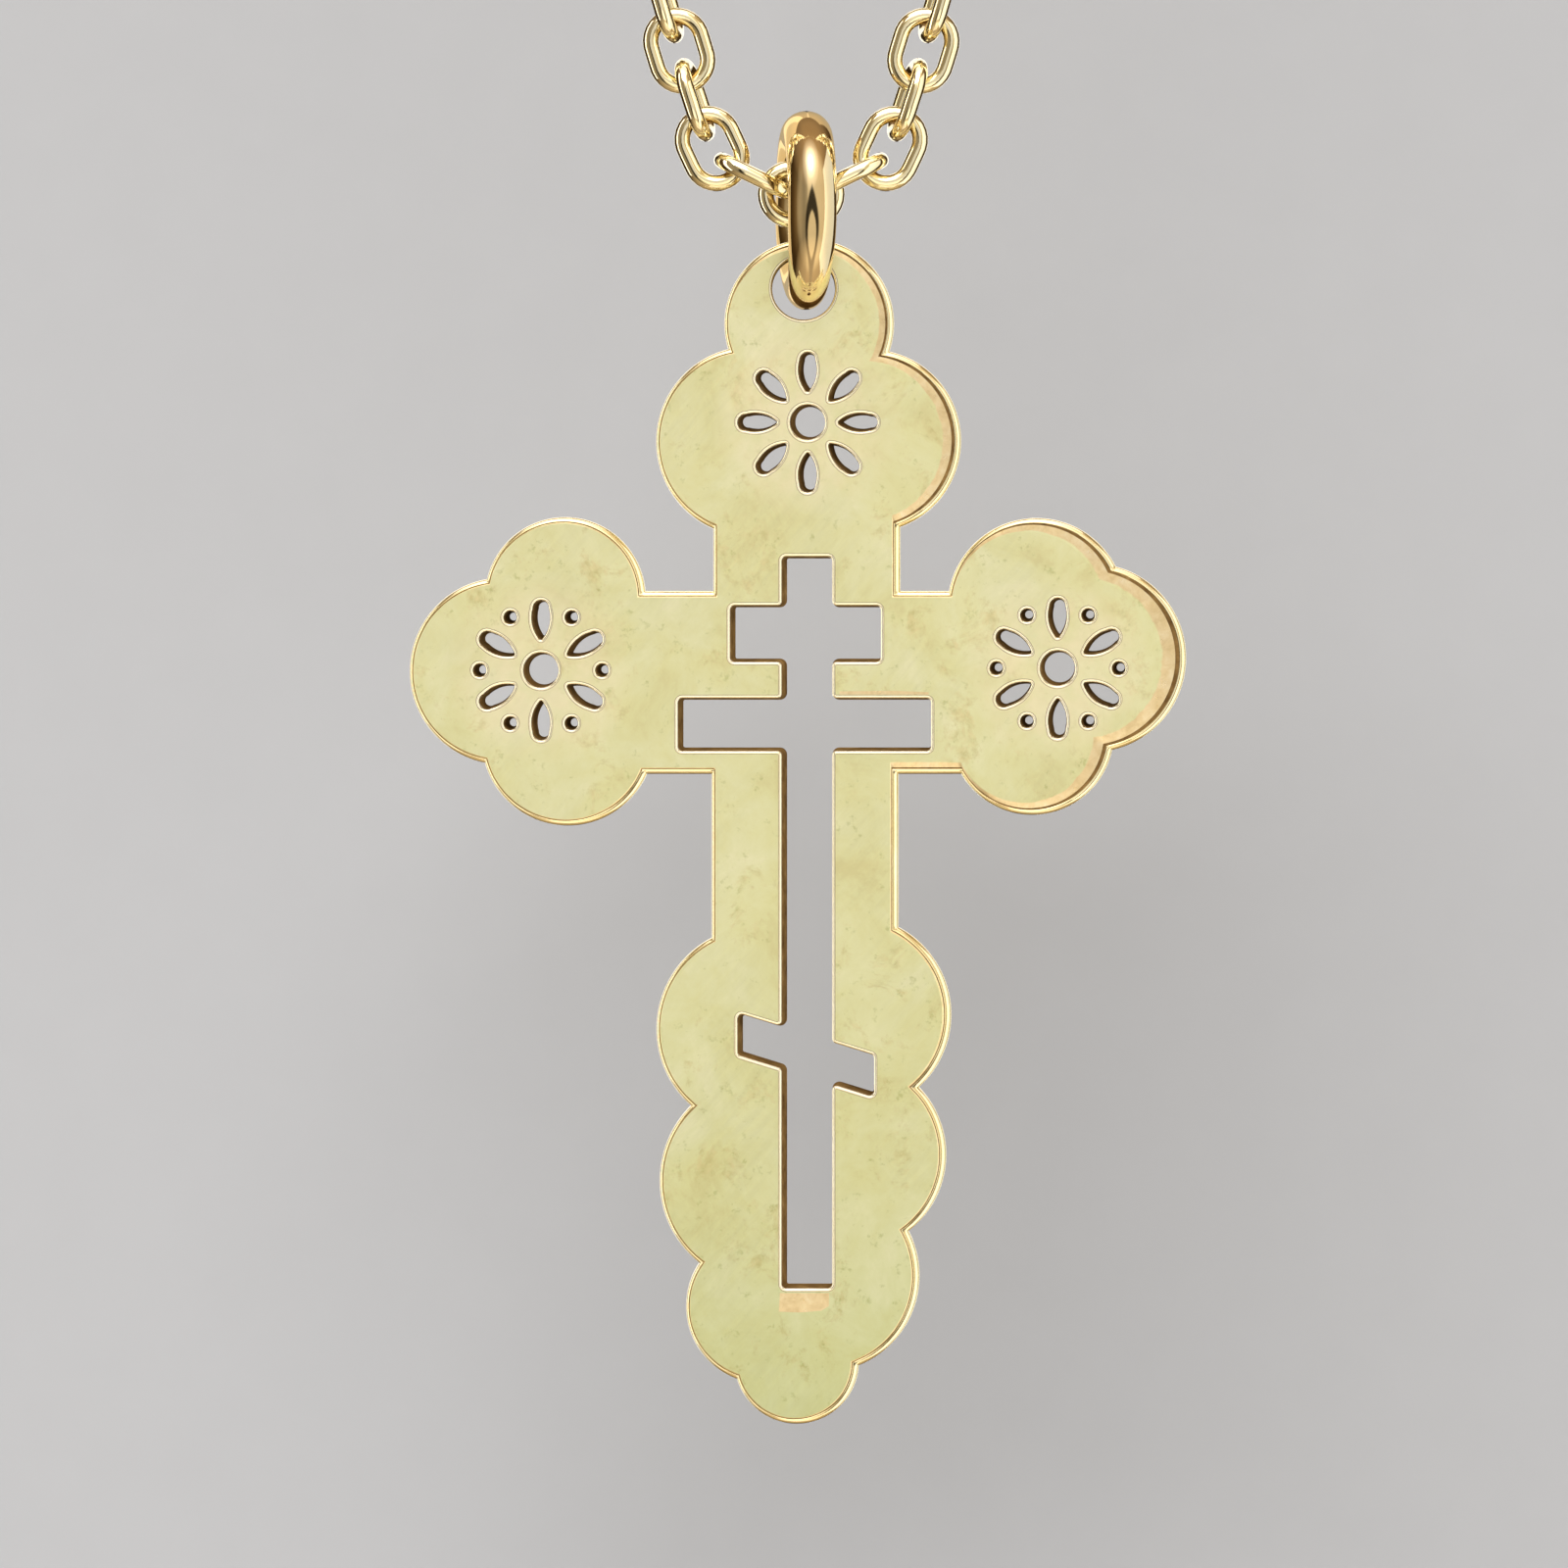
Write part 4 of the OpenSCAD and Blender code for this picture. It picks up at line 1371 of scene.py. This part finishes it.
def strand_places(count, side):
    """Where each link of a strand lies. Side is 1 for the right-hand strand and -1 for the left-hand one."""
    places = []
    for k in range(count):
        a, b = bend_point(k), bend_point(k + 1)
        turn = 0 if k % 2 else math.pi / 2 + (FIRST_ROLL if k == 0 else EDGE_ROLL)
        middle = (a + b) / 2
        places.append(upright(CHAIN_X + side * middle.x, middle_link_z + middle.y,
                              side * lean_between(a, b), side * turn))
    return places


def chain_mesh(name, places):
    """All links of one half as one mesh, with the film and painted shade kept as a value on each point."""
    points, faces, film_and_shade = [], [], []
    for place in places:
        first = len(points)
        points += [place @ p * MM for p in LINK_POINTS]
        film_and_shade += LINK_FILM_AND_SHADE
        for i in range(LINK_RINGS):
            n = (i + 1) % LINK_RINGS
            for j in range(WIRE_SIDES):
                m = (j + 1) % WIRE_SIDES
                faces.append((first + i * WIRE_SIDES + j, first + i * WIRE_SIDES + m,
                              first + n * WIRE_SIDES + m, first + n * WIRE_SIDES + j))
    mesh = bpy.data.meshes.new(name)
    mesh.from_pydata(points, [], faces)
    mesh.polygons.foreach_set("use_smooth", [True] * len(faces))
    mesh.attributes.new("inner_bend", "FLOAT", "POINT").data.foreach_set("value", film_and_shade)
    mesh.materials.append(chain_gold)
    return mesh


middle_link = upright(CHAIN_X, middle_link_z, math.pi / 2, 0)
left_mesh = chain_mesh("chain_left_dressed", [middle_link, *strand_places(LEFT_LINKS, -1)])
left_half = place_piece("dressed_chain_left", left_mesh, "chain", "chain_left")
right_mesh = chain_mesh("chain_right_dressed", strand_places(RIGHT_LINKS, 1))
right_half = place_piece("dressed_chain_right", right_mesh, "chain", "chain_right")
print("chain:", len(left_half.data.polygons), "and", len(right_half.data.polygons), "faces")

# %% [markdown]
# ## The end ring and the clasp
# At the nape the right half ends in a soldered ring, and the left half in the eye of a spring ring. Both
# are bent round wire. Blender's own torus would do, but one function that bends a circle round a circle
# also sets each ring in its place and gives it to the same skin as the bail. The clasp has a small lever
# with a rounded head.

# %% Build the end ring and the clasp
RING_STEPS, RING_SIDES = 72, 18
LEVER_RADIUS, LEVER_LENGTH, LEVER_TURN = 0.35, 1.0, math.radians(-40)
LEVER_POST, LEVER_DOME = 0.82, 0.18
DOME_STEPS = 6
LEVER_TIP = 0.001


def bent_ring(place, centre_r, wire_r):
    """Rows of points of a ring of round wire that stands in the plane of the plate before it is placed."""
    rings = []
    for i in range(RING_STEPS):
        a = 2 * math.pi * i / RING_STEPS
        ring = []
        for j in range(RING_SIDES):
            b = 2 * math.pi * j / RING_SIDES
            r = centre_r + wire_r * math.cos(b)
            ring.append(place @ Vector((r * math.cos(a), wire_r * math.sin(b), r * math.sin(a))))
        rings.append(ring)
    return rings


def join_meshes(name, meshes):
    """Puts several small meshes into one."""
    work = bmesh.new()
    for mesh in meshes:
        work.from_mesh(mesh)
    bmesh.ops.recalc_face_normals(work, faces=work.faces)
    joined = bpy.data.meshes.new(name)
    work.to_mesh(joined)
    work.free()
    joined.materials.append(meshes[0].materials[0])
    for mesh in meshes:
        bpy.data.meshes.remove(mesh)
    return joined


def lever_rings(place):
    """A short round post with a domed head, from the middle of the tube outwards."""
    profile = [(LEVER_TIP, 0.0), (LEVER_RADIUS, 0.0), (LEVER_RADIUS, LEVER_LENGTH * LEVER_POST)]
    for i in range(1, DOME_STEPS + 1):
        a = math.radians(90) * i / DOME_STEPS
        profile.append((max(LEVER_TIP, LEVER_RADIUS * math.cos(a)),
                        LEVER_LENGTH * (LEVER_POST + LEVER_DOME * math.sin(a))))
    turns = [2 * math.pi * j / RING_SIDES for j in range(RING_SIDES)]
    return [[place @ Vector((r * math.cos(b), r * math.sin(b), h)) for b in turns] for r, h in profile]


start = steps_length(RIGHT_LINKS - LOW_LINKS)
ring_from, ring_to = rest_point(start), rest_point(start + 2 * end_ring_reach)
ring_middle = (ring_from + ring_to) / 2
ring_place = upright(CHAIN_X + ring_middle.x, middle_link_z + ring_middle.y,
                     lean_between(ring_from, ring_to), math.pi / 2)
ring_mesh = tube_mesh("end_ring_dressed", bent_ring(ring_place, end_ring_r, RING_WIRE / 2), clasp_gold)
end_ring = place_piece("dressed_end_ring", ring_mesh, "chain", "end_ring")

clasp_centre = Matrix.Translation((CHAIN_X + clasp_offset, 0, CLASP_OUTER / 2))
eye_centre = clasp_centre @ Matrix.Translation((-eye_x, 0, 0))
lever_place = clasp_centre @ Matrix.Rotation(-LEVER_TURN, 4, "Y") @ Matrix.Translation((0, 0, clasp_r))
clasp_mesh = join_meshes("clasp_dressed", [
    tube_mesh("tube", bent_ring(clasp_centre, clasp_r, CLASP_TUBE / 2), clasp_gold),
    tube_mesh("eye", bent_ring(eye_centre, eye_r, RING_WIRE / 2), clasp_gold),
    tube_mesh("lever", lever_rings(lever_place), clasp_gold, closed=False),
])
clasp = place_piece("dressed_clasp", clasp_mesh, "chain", "clasp")
print("clasp:", len(clasp.data.polygons), "faces, end ring:", len(end_ring.data.polygons), "faces")

# %% [markdown]
# ## Flags
# A photographer keeps a light off one piece with a flag, a black card on a stand. The lights that make the
# flat face and the thin wires bright would draw hard rectangles on the round bail, so flags keep them off
# it. The bail gets a window, a round lamp and gold cards of its own, and the chain and the plate each get a
# light or more to themselves. The wide light reaches the paper alone. In Blender a light can be told which
# pieces receive it, which does the same without a card in the picture.

# %% Flag the lights
def keep_to(lights, group, pieces):
    """Lets these lights reach only these pieces."""
    receivers = bpy.data.collections.new(group)
    for piece in pieces:
        receivers.objects.link(piece)
    for light in lights:
        light.light_linking.receiver_collection = receivers
    print(group, "lit by", [light.name for light in lights])


chain_pieces = (left_half, right_half, end_ring, clasp)
RECEIVERS = {
    ALL_BUT_BAIL: (plate, *chain_pieces),
    BAIL_ALONE: (bail,),
    PLATE_ALONE: (plate,),
    CHAIN_ALONE: chain_pieces,
}
for group, pieces in RECEIVERS.items():
    keep_to([softboxes[name] for name, *_, lit in SOFTBOXES if lit == group], group, pieces)
keep_to([paper_light], "paper_alone", (stage,))

# %% [markdown]
# ## Check the size
# Dressing a piece must not change its size. The box of the construction and the box of the dressed object
# are compared, and the largest difference is printed.

# %% Compare the two boxes
shown_low, shown_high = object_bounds()
off = max(abs(a - b) for a, b in zip([*cad_low, *cad_high], [*shown_low, *shown_high]))
print(f"largest difference between the boxes: {off / MM:.3f} mm")
